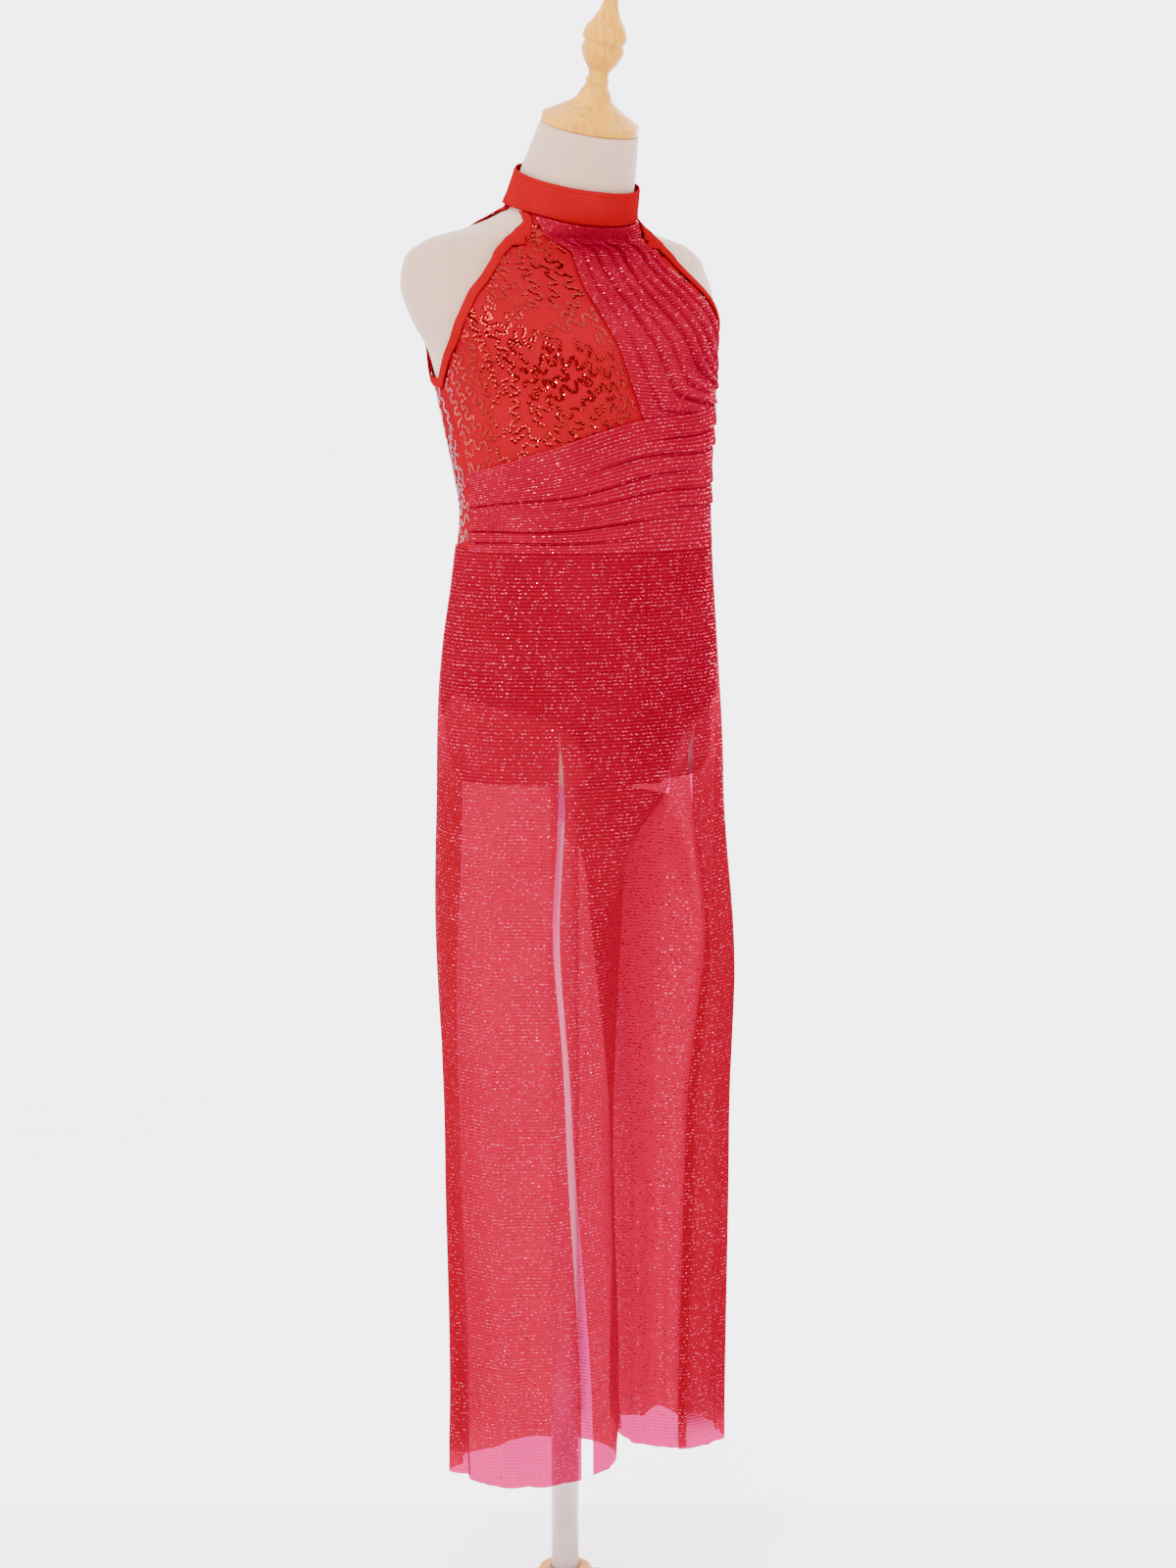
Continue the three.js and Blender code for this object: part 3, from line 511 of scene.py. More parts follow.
def tilt_finial(finial):
    """Lean the finial back with the neck and set it on top."""
    lean = FINIAL_TILT * DEG
    turn = np.array([[1, 0, 0], [0, math.cos(lean), -math.sin(lean)], [0, math.sin(lean), math.cos(lean)]])
    foot = np.array([0, FORM[-1]["y"] - 0.3 * math.sin(lean), NECK_TOP + 0.3 * math.cos(lean)])
    places = np.zeros(len(finial.data.vertices) * 3)
    finial.data.vertices.foreach_get("co", places)
    finial.data.vertices.foreach_set("co", (places.reshape(-1, 3) @ turn.T + foot * MM).ravel())


dress(turned("base_turned", BASE_PROFILE, wood, 128), "turned_wood", "stand_base")
finial = turned("finial_turned", FINIAL_PROFILE, wood, 72)
tilt_finial(finial)
dress(finial, "turned_wood", "neck_finial")
dress(turned("pole_tube", POLE_PROFILE, paint, 64), "pole_paint", "stand_pole")

# %% [markdown]
# ## Red knits
# The collar and bindings are a smooth stretch knit with a soft sheen, and the brief under the mesh is the same knit,
# a little duller. Soft ribs, two to three millimetres apart, run down the cloth's own UV map.

# %% Knit finishes
KNIT_RIBS, KNIT_LOOPS = 120.0, 150.0
BODICE_WALL, BRIEF_WALL = 1.1, 1.0


def knit_finish(name, colour, dark, roughness):
    knit = Finish(name, Roughness=roughness, Specular_IOR_Level=0.0, Specular_Tint=(1, 0.10, 0.10, 1),
                  Sheen_Weight=0.02, Sheen_Roughness=0.4, Sheen_Tint=(1, 0.20, 0.20, 1))
    flat = knit.places("UV")
    weave = knit.wave("X", KNIT_RIBS, 0.3, flat) * knit.wave("Y", KNIT_LOOPS, 0.6, flat)
    knit.colour(knit.ramp(weave * 0.35 + knit.noise(35.0, 3.0) * 0.65, [(0.2, dark), (0.65, colour)]))
    knit.bump(weave, 0.2, 0.0003)
    return knit


smooth_red = knit_finish("red_knit", (0.18, 0, 0.0034), (0.15, 0, 0.0024), 0.42)
ground_red = knit_finish("sequin_ground", (0.175, 0, 0.005), (0.145, 0, 0.004), 0.5)
brief_red = knit_finish("brief_knit", (0.16, 0, 0.003), (0.135, 0, 0.002), 0.6)
print("knits ready")

# %% [markdown]
# ## Thick trim
# Collar and bindings have a thickness that shows at their edges, so they are closed walls: the row of points is
# wrapped round a small rounded section. Working from the skin function keeps them clear of the panel below.

# %% Trim helper
SECTION = [
    (0, 0.25), (0, 0.75), (0.06, 1), (0.3, 1.12), (0.5, 1.16), (0.7, 1.12), (0.94, 1), (1, 0.75), (1, 0.25), (0.94, 0),
    (0.5, 0), (0.06, 0),
]
COLLAR_BOTTOM, COLLAR_TOP = 1270.8, 1299
COLLAR_CLEAR, COLLAR_WALL = 3.6, 1.6


def trim(name, place, stations, finish, closed):
    """place(station, across, up) gives a point; across and up run from 0 to 1 over the trim's section."""
    rings = np.stack([place(stations, across, up) for across, up in SECTION] + [place(stations, *SECTION[0])])
    grid = np.swapaxes(rings, 0, 1)[:, ::-1]
    piece = cloth(name, [np.concatenate([grid, grid[:1]]) if closed else grid], finish)
    if not closed:
        edit(piece.data, lambda work: bmesh.ops.holes_fill(work, edges=[e for e in work.edges if e.is_boundary]))
    edit(piece.data, lambda work: bmesh.ops.recalc_face_normals(work, faces=work.faces))
    return piece


def collar_place(t, across, up):
    z = mix(COLLAR_BOTTOM, COLLAR_TOP, across)
    wave = 0.5 * np.sin(t * DEG * 3 + 0.8) * across + 0.4 * np.sin(t * DEG * 7) * across
    return skin_point(t, z + 0 * t, COLLAR_CLEAR + COLLAR_WALL * up + wave)


collar = trim("collar_band", collar_place, np.linspace(0, 360, 180, endpoint=False), smooth_red, True)
dress(collar, "red_knit", "collar")

# %% [markdown]
# ## Sequin panels
# Front and back are a stretch knit with sequins sewn on in winding strings. The knit panel comes first. Its upper
# edges follow the armholes, so each row of the grid runs between two edge angles taken from a short table.

# %% Bodice panels
WAIST = 986
UNDERARM = 1128
NECK_EDGE = 1269.4
BODICE_CLEAR = 2.4
SHOULDER = 1236, 1252
ARMHOLE = rows("z front back",
    (1128, 98, 82), (1131, 96, 70), (1140, 91, 60), (1152, 84, 53), (1166, 73, 48), (1182, 62, 43),
    (1197, 53, 39), (1215, 43, 36), (1230, 38, 35), (1240, 37, 36), (1248, 39, 40), (1255, 46, 48),
    (1262, 57, 59), (1269.4, 78, 78))
SIDE_SEAM = rows("z t", (986, 90), (1060, 91), (1110, 95), (1128, 98))


def panel_half(z, side):
    """Half angle of the front or back panel at a height, measured from its own middle."""
    seam = table(SIDE_SEAM, "t", z)
    seam = seam if side == "front" else 180 - seam
    return np.where(np.asarray(z) < UNDERARM, seam, table(ARMHOLE, side, z))


def bodice_panel(name, side):
    z = np.concatenate([
        [WAIST - 1.5], np.arange(987, UNDERARM, 6), [1128, 1129, 1130], np.arange(1132, 1269, 3), [NECK_EDGE, 1272.5],
    ])[:, None]
    t = (panel_half(z, side) - 0.1) * np.linspace(-1, 1, 91)[None, :] + (0 if side == "front" else 180)
    clear = BODICE_CLEAR - (0.9 * smooth(*SHOULDER, z) if side == "back" else 0)
    panel = cloth(name, [skin_point(t, z, clear + 0 * t)], ground_red)
    thicken(panel, BODICE_WALL)
    return panel


bodice_front = bodice_panel("bodice_front_knit", "front")
bodice_back = bodice_panel("bodice_back_knit", "back")
dress(bodice_front, "red_sequin", "bodice_front")
dress(bodice_back, "red_sequin", "bodice_back")

# %% [markdown]
# ## Drape edges
# Mesh is draped over part of the sequin front: a fan of soft pleats from the collar to the wearer's left side, and a
# wide pleated band round the front of the waist. Their edges are tables of angle and height, and the sequins stop
# where the drapes begin, as on the real costume where nothing shows below them.

# %% Drape edges
BUST = rows("v low_t low_z high_t high_z",
    (0, -63, 1269, 54, 1269), (0.08, -37, 1259, 38, 1258), (0.16, -16, 1246, 28, 1248),
    (0.24, -8, 1230, 28.5, 1238), (0.36, -9, 1198, 33, 1216), (0.48, -9, 1168, 41, 1200),
    (0.6, -7, 1133, 51, 1186), (0.7, 1, 1091, 60, 1170), (0.8, 28, 1090, 70, 1150), (0.9, 58, 1096, 81, 1134),
    (1, 90.5, 1092, 90.5, 1124))
WAIST_TOP = rows("t z",
    (-91, 1046), (-70, 1053), (-45, 1066), (0, 1092), (30, 1097), (55, 1103), (91, 1097))


def under_drape(t, z, margin=2):
    """True where a drape covers the sequin front."""
    v = np.linspace(0, 0.66, 60)
    low_z, low_t, high_z, high_t = (edge[::-1] for edge in columns(BUST, "low_z low_t high_z high_t", v))
    right_of_low = t > np.interp(z, low_z, low_t) - margin * 0.7
    left_of_high = t < np.interp(z, high_z, high_t) + margin * 0.7
    fan_top = np.interp(t, *([row[edge] for row in BUST[4:]] for edge in ("high_t", "high_z")))
    in_waist = z < table(WAIST_TOP, "z", t) + margin
    return in_waist | (right_of_low & left_of_high) | ((t > 0) & (z < 1165) & (z < fan_top))


print("drape edges ready")

# %% [markdown]
# ## Geometry Nodes helper
# What repeats along a path is made by a small node tree built here in the script. Its sizes are named inputs. The
# tree ends by realising the copies and setting their material, and the result is turned into a plain mesh.

# %% Geometry Nodes helper


class Growing(Nodes):
    """A geometry node tree with named inputs, grown along chains of points and then made a plain mesh."""

    def __init__(self, name, sizes):
        super().__init__(bpy.data.node_groups.new(name, "GeometryNodeTree"))
        face = self.tree.interface
        face.new_socket("Geometry", in_out="INPUT", socket_type="NodeSocketGeometry")
        for label, value in sizes.items():
            kind = "NodeSocketInt" if isinstance(value, int) else "NodeSocketFloat"
            face.new_socket(label, in_out="INPUT", socket_type=kind).default_value = value
        face.new_socket("Geometry", in_out="OUTPUT", socket_type="NodeSocketGeometry")
        self.size = self.add("NodeGroupInput").outputs

    def stand(self, vector):
        """A rotation that stands a copy's axis along a direction."""
        return self.add("FunctionNodeAlignRotationToVector", axis="Z", Vector=vector).outputs[0]

    def string(self, copy, rotation, finish):
        """Set copies along the paths at the tree's pitch, with their material."""
        curve = self.add("GeometryNodeMeshToCurve", Mesh=self.size["Geometry"]).outputs[0]
        even = self.add("GeometryNodeResampleCurve", mode="LENGTH", Curve=curve, Length=self.size["Pitch"]).outputs[0]
        placed = self.add("GeometryNodeInstanceOnPoints", Points=even, Instance=copy, Rotation=rotation).outputs[0]
        real = self.add("GeometryNodeRealizeInstances", Geometry=placed).outputs[0]
        painted = self.add("GeometryNodeSetMaterial", Geometry=real, Material=finish.material).outputs[0]
        self.feed(self.add("NodeGroupOutput").inputs[0], painted)

    def grow(self, name, base, finish, shade, **sizes):
        modifier = base.modifiers.new("grow", "NODES")
        modifier.node_group = self.tree
        for item in self.tree.interface.items_tree:
            if item.in_out == "INPUT" and item.name in sizes:
                modifier[item.identifier] = sizes[item.name]
        view = bpy.context.evaluated_depsgraph_get()
        mesh = bpy.data.meshes.new_from_object(base.evaluated_get(view))
        bpy.data.objects.remove(base)
        mesh.name = name
        return link(name, mesh, finish, shade)


def path_object(name, chains, outs=()):
    """A mesh of open chains of points, with the outward direction kept at each point."""
    points, edges = [], []
    for chain in chains:
        first = len(points)
        points += (chain * MM).tolist()
        edges += [(first + i, first + i + 1) for i in range(len(chain) - 1)]
    mesh = bpy.data.meshes.new(name)
    mesh.from_pydata(points, edges, [])
    if len(outs):
        keep(mesh, "out", outs, "FLOAT_VECTOR", "vector")
    return place_object(name, mesh)


def outward(t, z):
    return unit(skin_point(t, z, 10) - skin_point(t, z, 0))


print("growing helper ready")

# %% [markdown]
# ## Sequins
# Each sequin is a tiny metallised cup with a hole, and each sits at a slightly different tilt, which is what makes a
# sequined cloth flash in spots instead of shining evenly. The strings wind like a river: their heading swings to and
# fro as a sine of the length along them, which gives loops that nearly touch.

# %% Sequin finish and strings


def sequin_finish():
    sequin = Finish("sequin_foil", Roughness=0.1, Metallic=1.0, Specular_Tint=(0.9, 0.75, 0.8, 1), Coat_Weight=0.16,
                    Coat_Roughness=0.05)
    stops = [(0.3, (0.12, 0.0002, 0.0003)), (0.55, (0.18, 0.0006, 0.0006)), (0.75, (0.26, 0.002, 0.001))]
    sequin.colour(sequin.ramp(sequin.noise(330.0, 1.0), stops))
    return sequin


def sequin_tree(finish):
    tree = Growing("sequins_on_strings", {
        "Pitch": 0.0029, "Radius": 0.0017, "Hole": 0.0004, "Depth": 0.00016, "Tilt": 0.075, "Seed": 7,
    })
    size = tree.size
    cup = tree.add("GeometryNodeMeshCone", fill_type="NONE", Vertices=8, Radius_Top=size["Radius"],
                   Radius_Bottom=size["Hole"], Depth=size["Depth"])
    minus = tree.add("ShaderNodeMath", {0: size["Tilt"], 1: -1.0}, operation="MULTIPLY").outputs[0]
    low, high = (tree.add("ShaderNodeCombineXYZ", X=tilt, Y=tilt, Z=tilt).outputs[0] for tilt in (minus, size["Tilt"]))
    chance = tree.add("FunctionNodeRandomValue", data_type="FLOAT_VECTOR", Min=low, Max=high, Seed=size["Seed"])
    out = tree.add("GeometryNodeInputNamedAttribute", data_type="FLOAT_VECTOR", Name="out").outputs["Attribute"]
    turn = tree.add("FunctionNodeRotateRotation", rotation_space="LOCAL", Rotation=tree.stand(out),
                    Rotate_By=chance.outputs["Value"])
    tree.string(cup.outputs["Mesh"], turn.outputs[0], finish)
    return tree


STEERING = (0, 0.35, -0.35, 0.7, -0.7, 1.1, -1.1)
CLEAR_OF_OTHERS = 4.7
CLEAR_OF_ITSELF = 3.3
SEQUIN_PITCH = 2.9
LONGEST_STRING = 90
SHORTEST_STRING = 4
CELL = 8
SEQUINS_FROM, SEQUINS_TO, CLEAR_OF_EDGE = 990, 1262, 6.5


def winding_strings(side, seed):
    """Strings of sequins over one panel, as chains of points with their outward directions.

    Each string starts where there is room, swings to and fro as it grows, and stops before it meets another.
    """
    chance = np.random.default_rng(seed)
    middle = 0 if side == "front" else 180
    taken, chains, outs = {}, [], []

    def place(across, z):
        reach = math.sqrt(sum(float(radius) ** 2 for radius in columns(FORM, "a b", z)) / 2)
        local = across / reach / DEG
        edge = float(panel_half(z, side)) - CLEAR_OF_EDGE / reach / DEG
        inside = SEQUINS_FROM < z < SEQUINS_TO and abs(local) < edge
        return local, inside and not (side == "front" and bool(under_drape(local, z)))

    def crowded(across, z, own, number):
        column, row = int(across // CELL), int(z // CELL)
        for i in (column - 1, column, column + 1):
            for k in (row - 1, row, row + 1):
                for x, y, string, order in taken.get((i, k), ()):
                    if string == own and order > number - 3:
                        continue
                    near = CLEAR_OF_ITSELF if string == own else CLEAR_OF_OTHERS
                    if (x - across) ** 2 + (y - z) ** 2 < near * near:
                        return True
        return False

    starts = [(a + chance.uniform(-3, 3), h + chance.uniform(-3, 3))
              for a in range(-225, 226, 5) for h in range(992, 1262, 5)]
    chance.shuffle(starts)
    for string, (across, z) in enumerate(starts):
        lean = 0.9 * math.sin(across / 37 + seed) + 0.9 * math.sin(z / 29) + chance.uniform(-0.5, 0.5)
        loop, phase, swing = chance.uniform(17, 24), chance.uniform(0, 6.28), chance.uniform(1.15, 1.6)
        chain, heading, step = [], 0, 0
        for number in range(LONGEST_STRING):
            free = None
            for turn in STEERING if number else (0,):
                x, y = across + step * math.sin(heading + turn), z + step * math.cos(heading + turn)
                local, inside = place(x, y)
                if inside and not crowded(x, y, string, number):
                    free = turn
                    break
            if free is None:
                break
            across, z, lean, step = x, y, lean + 0.45 * free, SEQUIN_PITCH
            chain.append((local, z))
            taken.setdefault((int(across // CELL), int(z // CELL)), []).append((across, z, string, number))
            winding = swing * math.sin(2 * math.pi * number * SEQUIN_PITCH / loop + phase)
            heading = lean + winding + 0.25 * math.sin(number / 7 + phase)
        if len(chain) >= SHORTEST_STRING:
            local, height = np.array(chain).T
            chains.append(skin_point(local + middle, height, BODICE_CLEAR + 0.35))
            outs.append(outward(local + middle, height))
    print(side, sum(map(len, chains)), "sequins")
    return chains, outs


sequin_foil = sequin_finish()
sequins = sequin_tree(sequin_foil)
for side, seed, tilts in (("front", 3, 11), ("back", 5, 12)):
    strings = path_object(f"strings_{side}", *winding_strings(side, seed))
    dress(sequins.grow(f"sequins_{side}", strings, sequin_foil, False, Seed=tilts), "red_sequin")

# %% [markdown]
# ## Armhole bindings
# A strip of the smooth knit is folded over each armhole edge. It is one run from the collar down the front, under
# the arm and up the back, so its path joins the two columns of the armhole table, and the strip steps inward across
# the body's surface.

# %% Bindings
BINDING_CLEAR = 3.1
BINDING_REACH = -1.2, 6.6
RUN = [dict(s=i, t=row["front"], z=row["z"]) for i, row in enumerate(reversed(ARMHOLE))]
RUN += [dict(s=len(RUN) + i, t=180 - row["back"], z=row["z"]) for i, row in enumerate(ARMHOLE[1:])]


def surface_step(t, z, direction, length):
    """Angles and heights a given length away across the surface."""
    around = skin_point(t + 0.5, z, 0) - skin_point(t - 0.5, z, 0)
    along = skin_point(t, z + 0.5, 0) - skin_point(t, z - 0.5, 0)
    aa, bb, ab = (around**2).sum(-1), (along**2).sum(-1), (around * along).sum(-1)
    ad, bd = (around * direction).sum(-1) * length, (along * direction).sum(-1) * length
    det = aa * bb - ab * ab
    return t + (ad * bb - bd * ab) / det, z + (bd * aa - ad * ab) / det


def binding_place(side):
    def edge(s):
        t, z = columns(RUN, "t z", s)
        return side * t, z

    def place(s, across, up):
        t, z = edge(s)
        forward = skin_point(*edge(s + 0.15), 0) - skin_point(*edge(s - 0.15), 0)
        inward = unit(np.cross(forward, outward(t, z)) * side)
        t, z_in = surface_step(t, z, inward, mix(*BINDING_REACH, across))
        over = smooth(*SHOULDER, z) * (s > len(RUN) / 2)
        clear = BINDING_CLEAR - 1.4 * over + (1.7 - 0.9 * over) * up
        return skin_point(t, np.minimum(z_in, NECK_EDGE - 0.3), clear)
    return place


STATIONS = np.linspace(0.02, len(RUN) - 1.02, 260)
bindings = []
for side, name in ((-1, "right"), (1, "left")):
    bindings.append(trim(f"binding_{name}_strip", binding_place(side), STATIONS, smooth_red, False))
    dress(bindings[-1], "red_knit", f"binding_{name}")

# %% [markdown]
# ## Glitter mesh
# The trousers and drapes are one cloth: a sheer red mesh with rows of tiny foil dots about three millimetres apart.
# A single layer lets about a third of the red light from behind through, so two layers look far denser than one. Each
# foil dot faces its own way, so a few flash white wherever you stand. The places where the mesh is drawn together are
# kept as numbers on the sheets and make it denser there. The pleats' creases are kept too, and darken it there as
# painted shade, partly also for the cloth lying double in them.

# %% Glitter mesh finish
FOIL_PITCH = 0.0031
DOTS_PER_METRE = 720.0
DOT_RADIUS = 0.36
DOT_LENGTHENING = 0.55
ROW_EDGE = 0.42
MISSING_SHARE = 0.4
STRAY_CHANCE = 0.97
FOIL_TILT, STRAY_TILT = 0.34, 0.9
ROW_COVER, DENSE_COVER = 0.16, 0.36
THREAD_GLOW = 0.3


def mesh_finish(name, rows_along, cover):
    """Thread and foil over clear gaps. What shows through the gaps is tinted by the threads beside them."""
    mesh = Finish(name, Roughness=0.55, Specular_IOR_Level=0.0, Specular_Tint=(1, 0.10, 0.16, 1), Sheen_Weight=0.02,
                  Sheen_Roughness=0.4, Sheen_Tint=(1, 0.25, 0.38, 1))
    row = mesh.wave(rows_along, 2 * math.pi / (20 * FOIL_PITCH), 0.25, mesh.places("UV")).maths("POWER", 2.0)
    long_dots = mesh.stretched((DOT_LENGTHENING, 1, 1) if rows_along == "Y" else (1, DOT_LENGTHENING, 1), "UV")
    dots = mesh.add("ShaderNodeTexVoronoi", Vector=long_dots, Scale=DOTS_PER_METRE, Randomness=0.9)
    chances = mesh.add("ShaderNodeSeparateColor", Color=dots.outputs["Color"]).outputs
    stray = Value(mesh, chances[1]).above(STRAY_CHANCE)
    in_row = row.above(ROW_EDGE) * Value(mesh, chances[0]).above(MISSING_SHARE)
    foil = Value(mesh, dots.outputs["Distance"]).maths("LESS_THAN", DOT_RADIUS) * in_row.larger(stray)

    ground = mesh.ramp(mesh.noise(22.0, 3.0), [(0.3, (0.165, 0.0, 0.0065)), (0.7, (0.21, 0.0, 0.010))])
    crease, drawn = mesh.kept("crease"), mesh.kept("dense")
    ground = mesh.blend(row * 0.55, ground, (0.265, 0.002, 0.028, 1))
    # Painted shade: along the pleats' creases the ground darkens towards near-black, partly also for the cloth lying
    # double there.
    ground = mesh.blend(crease * 0.5, ground, (0.05, 0.0, 0.002, 1))
    mesh.colour(mesh.blend(drawn * 0.7, ground, (0.135, 0.0, 0.003, 1)))
    through = mesh.add("ShaderNodeBsdfTranslucent", Color=(0.35, 0.001, 0.052, 1))
    thread = mesh.mixed(THREAD_GLOW, mesh.shader.outputs[0], through.outputs[0])

    tilt = mesh.vectors("SUBTRACT", dots.outputs["Color"], (0.5, 0.5, 0.5))[0]
    tilt = mesh.vectors("SCALE", tilt, Scale=stray * STRAY_TILT + FOIL_TILT)[0]
    tipped = mesh.vectors("ADD", mesh.add("ShaderNodeNewGeometry").outputs["Normal"], tilt)[0]
    shine = mesh.add("ShaderNodeBsdfPrincipled", Normal=mesh.vectors("NORMALIZE", tipped)[0], Metallic=1.0,
                     Roughness=0.17, Base_Color=(0.40, 0.040, 0.080, 1), Specular_Tint=(0.8, 0.35, 0.42, 1))
    gap = mesh.add("ShaderNodeBsdfTransparent", Color=(0.80, 0.024, 0.235, 1))
    covered = (row * ROW_COVER + (drawn * DENSE_COVER + cover)).larger(foil)
    mesh.surface(mesh.mixed(covered, gap.outputs[0], mesh.mixed(foil, thread, shine.outputs[0])))
    return mesh


sheer = mesh_finish("glitter_mesh", "Y", 0.58)
sheer_bust = mesh_finish("glitter_mesh_bust", "X", 0.86)
sheer_waist = mesh_finish("glitter_mesh_waist", "Y", 0.86)
print("mesh finishes ready")

# %% [markdown]
# ## Pleated drapes
# A pleat laid flat by hand shows as a broad soft band with a narrow crease under its folded edge. Each pleat has its
# own height, and the creases fade and wander along their length, so no two are alike. The cloth is gathered where
# the pleats run into the seams.

# %% Drapes
DRAPE_CLEAR = 3.3
DEEPEST_FOLD = 2.6
BUST_FOLDS = rows("at depth width fade_in fade_out",
    (0.13, 1.5, 0.030, 0.10, 0.80), (0.27, 2.3, 0.028, 0.04, 1.1), (0.40, 1.7, 0.028, 0.16, 0.74),
    (0.54, 2.6, 0.028, 0.04, 1.1), (0.65, 1.9, 0.026, 0.34, 1.1), (0.78, 2.5, 0.028, 0.06, 1.1),
    (0.91, 1.9, 0.024, 0.26, 0.94))
WAIST_FOLDS = rows("at depth width fade_in fade_out",
    (0.10, 1.5, 0.020, -0.1, 0.42), (0.24, 1.8, 0.018, -0.1, 0.50), (0.30, 1.4, 0.018, 0.62, 1.1),
    (0.44, 1.2, 0.020, 0.30, 1.1), (0.56, 1.6, 0.018, -0.1, 0.62), (0.70, 1.7, 0.020, 0.40, 1.1),
    (0.84, 1.5, 0.018, 0.55, 1.1))


def pleat_relief(share, along, folds, seed):
    """How far a pleated sheet stands out, in millimetres, and how deep in a crease it lies, from 0 to 1, which the
    mesh's material darkens as painted shade.
    """
    edges = [0] + [fold["at"] for fold in folds] + [1]
    relief = np.zeros(np.broadcast(share, along).shape)
    crease = relief.copy()
    for k, fold in enumerate(folds):
        wander = 0.010 * np.sin(along * 7 + k * 2.1 + seed) + 0.006 * np.sin(along * 17 + k * 1.3)
        off = share - fold["at"] - wander
        first, last, width = fold["fade_in"], fold["fade_out"], fold["width"]
        reach = smooth(first - 0.12, first + 0.06, along) * (1 - smooth(last - 0.06, last + 0.12, along))
        step = smooth(0, width, off) * (1 - smooth(width, (edges[k + 2] - edges[k + 1]) * 1.05, off))
        trough = reach * np.exp(-((off / (width * 0.5)) ** 2))
        relief += fold["depth"] * (reach * step - 0.55 * trough)
        crease = np.maximum(crease, fold["depth"] / DEEPEST_FOLD * trough)
    return relief, crease


def waist_drape():
    share = np.linspace(0, 1, 170)[:, None]
    along = np.linspace(0, 1, 150)[None, :]
    t = mix(-90.4, 90.4, along)
    top = table(WAIST_TOP, "z", t)
    sway = np.sin(share * np.pi) * (2.4 * np.sin(t * DEG * 2.3) + 1.2 * np.sin(t * DEG * 5 + 1))
    gather = 0.5 * np.exp(-((1 - np.abs(2 * along - 1)) / 0.09)) * np.sin(share * 44)
    relief, crease = pleat_relief(share, along, WAIST_FOLDS, 0.4)
    z = mix(WAIST - 2.5, top + 3, share) + sway
    return skin_point(t, z, DRAPE_CLEAR + np.maximum(1.3 + relief + gather, 0.1)), crease


def bust_drape():
    share = np.linspace(0, 1, 150)[:, None]
    along = np.linspace(0, 1, 170)[None, :]
    t, z = (mix(*columns(BUST, f"low_{way} high_{way}", along), share) for way in "tz")
    slack = smooth(0.02, 0.26, along) * (0.6 + 0.4 * smooth(1, 0.8, along))
    tucked = smooth(0, 7, z - table(WAIST_TOP, "z", t))
    relief, crease = pleat_relief(share, along, BUST_FOLDS, 1.7)
    clear = DRAPE_CLEAR + tucked * (0.5 + np.maximum(0.7 + slack * relief, 0.1))
    return skin_point(t, z, clear), slack * crease


waist_grid, waist_crease_shade = waist_drape()
bust_grid, bust_crease_shade = bust_drape()
waist_sheet = cloth("waist_drape", [waist_grid], sheer_waist, crease=[waist_crease_shade])
bust_sheet = cloth("bust_drape", [bust_grid], sheer_bust, crease=[bust_crease_shade])
dress(waist_sheet, "glitter_mesh", "drape_waist")
dress(bust_sheet, "glitter_mesh", "drape_bust")

# %% [markdown]
# ## Brief
# An opaque brief is sewn in at the waist and shows through the mesh. Its leg openings rise from the gusset to the
# hips. The gusset runs under the form and passes the pole on one side.

# %% Brief
BRIEF_CLEAR = 3.1
BRIEF_FRONT = rows("z right left",
    (788, 24, 13), (800, 24, 14), (814, 25, 17), (828, 29, 23), (840, 37, 33), (850, 50, 48), (856, 68, 68),
    (864, 86, 86), (880, 90, 90), (985, 90, 90))
BRIEF_BACK = rows("z right left",
    (788, 15, 22), (806, 26, 28), (822, 40, 40), (838, 55, 55), (852, 72, 72), (864, 87, 87), (880, 90, 90),
    (985, 90, 90))
GUSSET_FRONT = rows("y right left",
    (-106.5, -47, 26), (-92, -38, 32), (-70, -20, 40), (-45, 6, 48), (-18.2, 15.5, 50))
GUSSET_BACK = rows("y right left",
    (-17.8, 15.5, 50), (10, 15.5, 50), (34, -2, 46), (48, -20, 39), (58.5, -30, 33))


def brief_panel(name, edges, gusset, front):
    u = np.linspace(0, 1, 81)[None, :]
    z = np.concatenate([np.arange(788, 985, 3), [985]])[:, None]
    right, left = columns(edges, "right left", z)
    t = mix(-right, left, u) if front else 180 + mix(-left, right, u)
    y = np.linspace(gusset[0]["y"], gusset[-1]["y"], 26)
    y = (y[::-1] if front else y)[:, None]
    x = mix(*columns(gusset, "right left", y), u if front else 1 - u)
    lower = point(x, y + 0 * u, FORM_BOTTOM - BRIEF_CLEAR + 0 * y)
    panel = cloth(name, [np.concatenate([lower, skin_point(t, z, BRIEF_CLEAR)])], brief_red)
    thicken(panel, BRIEF_WALL)
    return panel


brief_front = brief_panel("brief_front_panel", BRIEF_FRONT, GUSSET_FRONT, True)
brief_back = brief_panel("brief_back_panel", BRIEF_BACK, GUSSET_BACK, False)
dress(brief_front, "brief_knit", "brief_front")
dress(brief_back, "brief_knit", "brief_back")

# %% [markdown]
# ## Sheer trousers
# Above the crotch both legs share one oval round the hips. Below it each leg closes round its own oval with an inner
# wall, and the two shapes blend over a hand's breadth. The front of each leg is slit from the thigh down. Long soft
# folds and narrow creases hang from the hips, each a row in a table with its direction, width and depth.

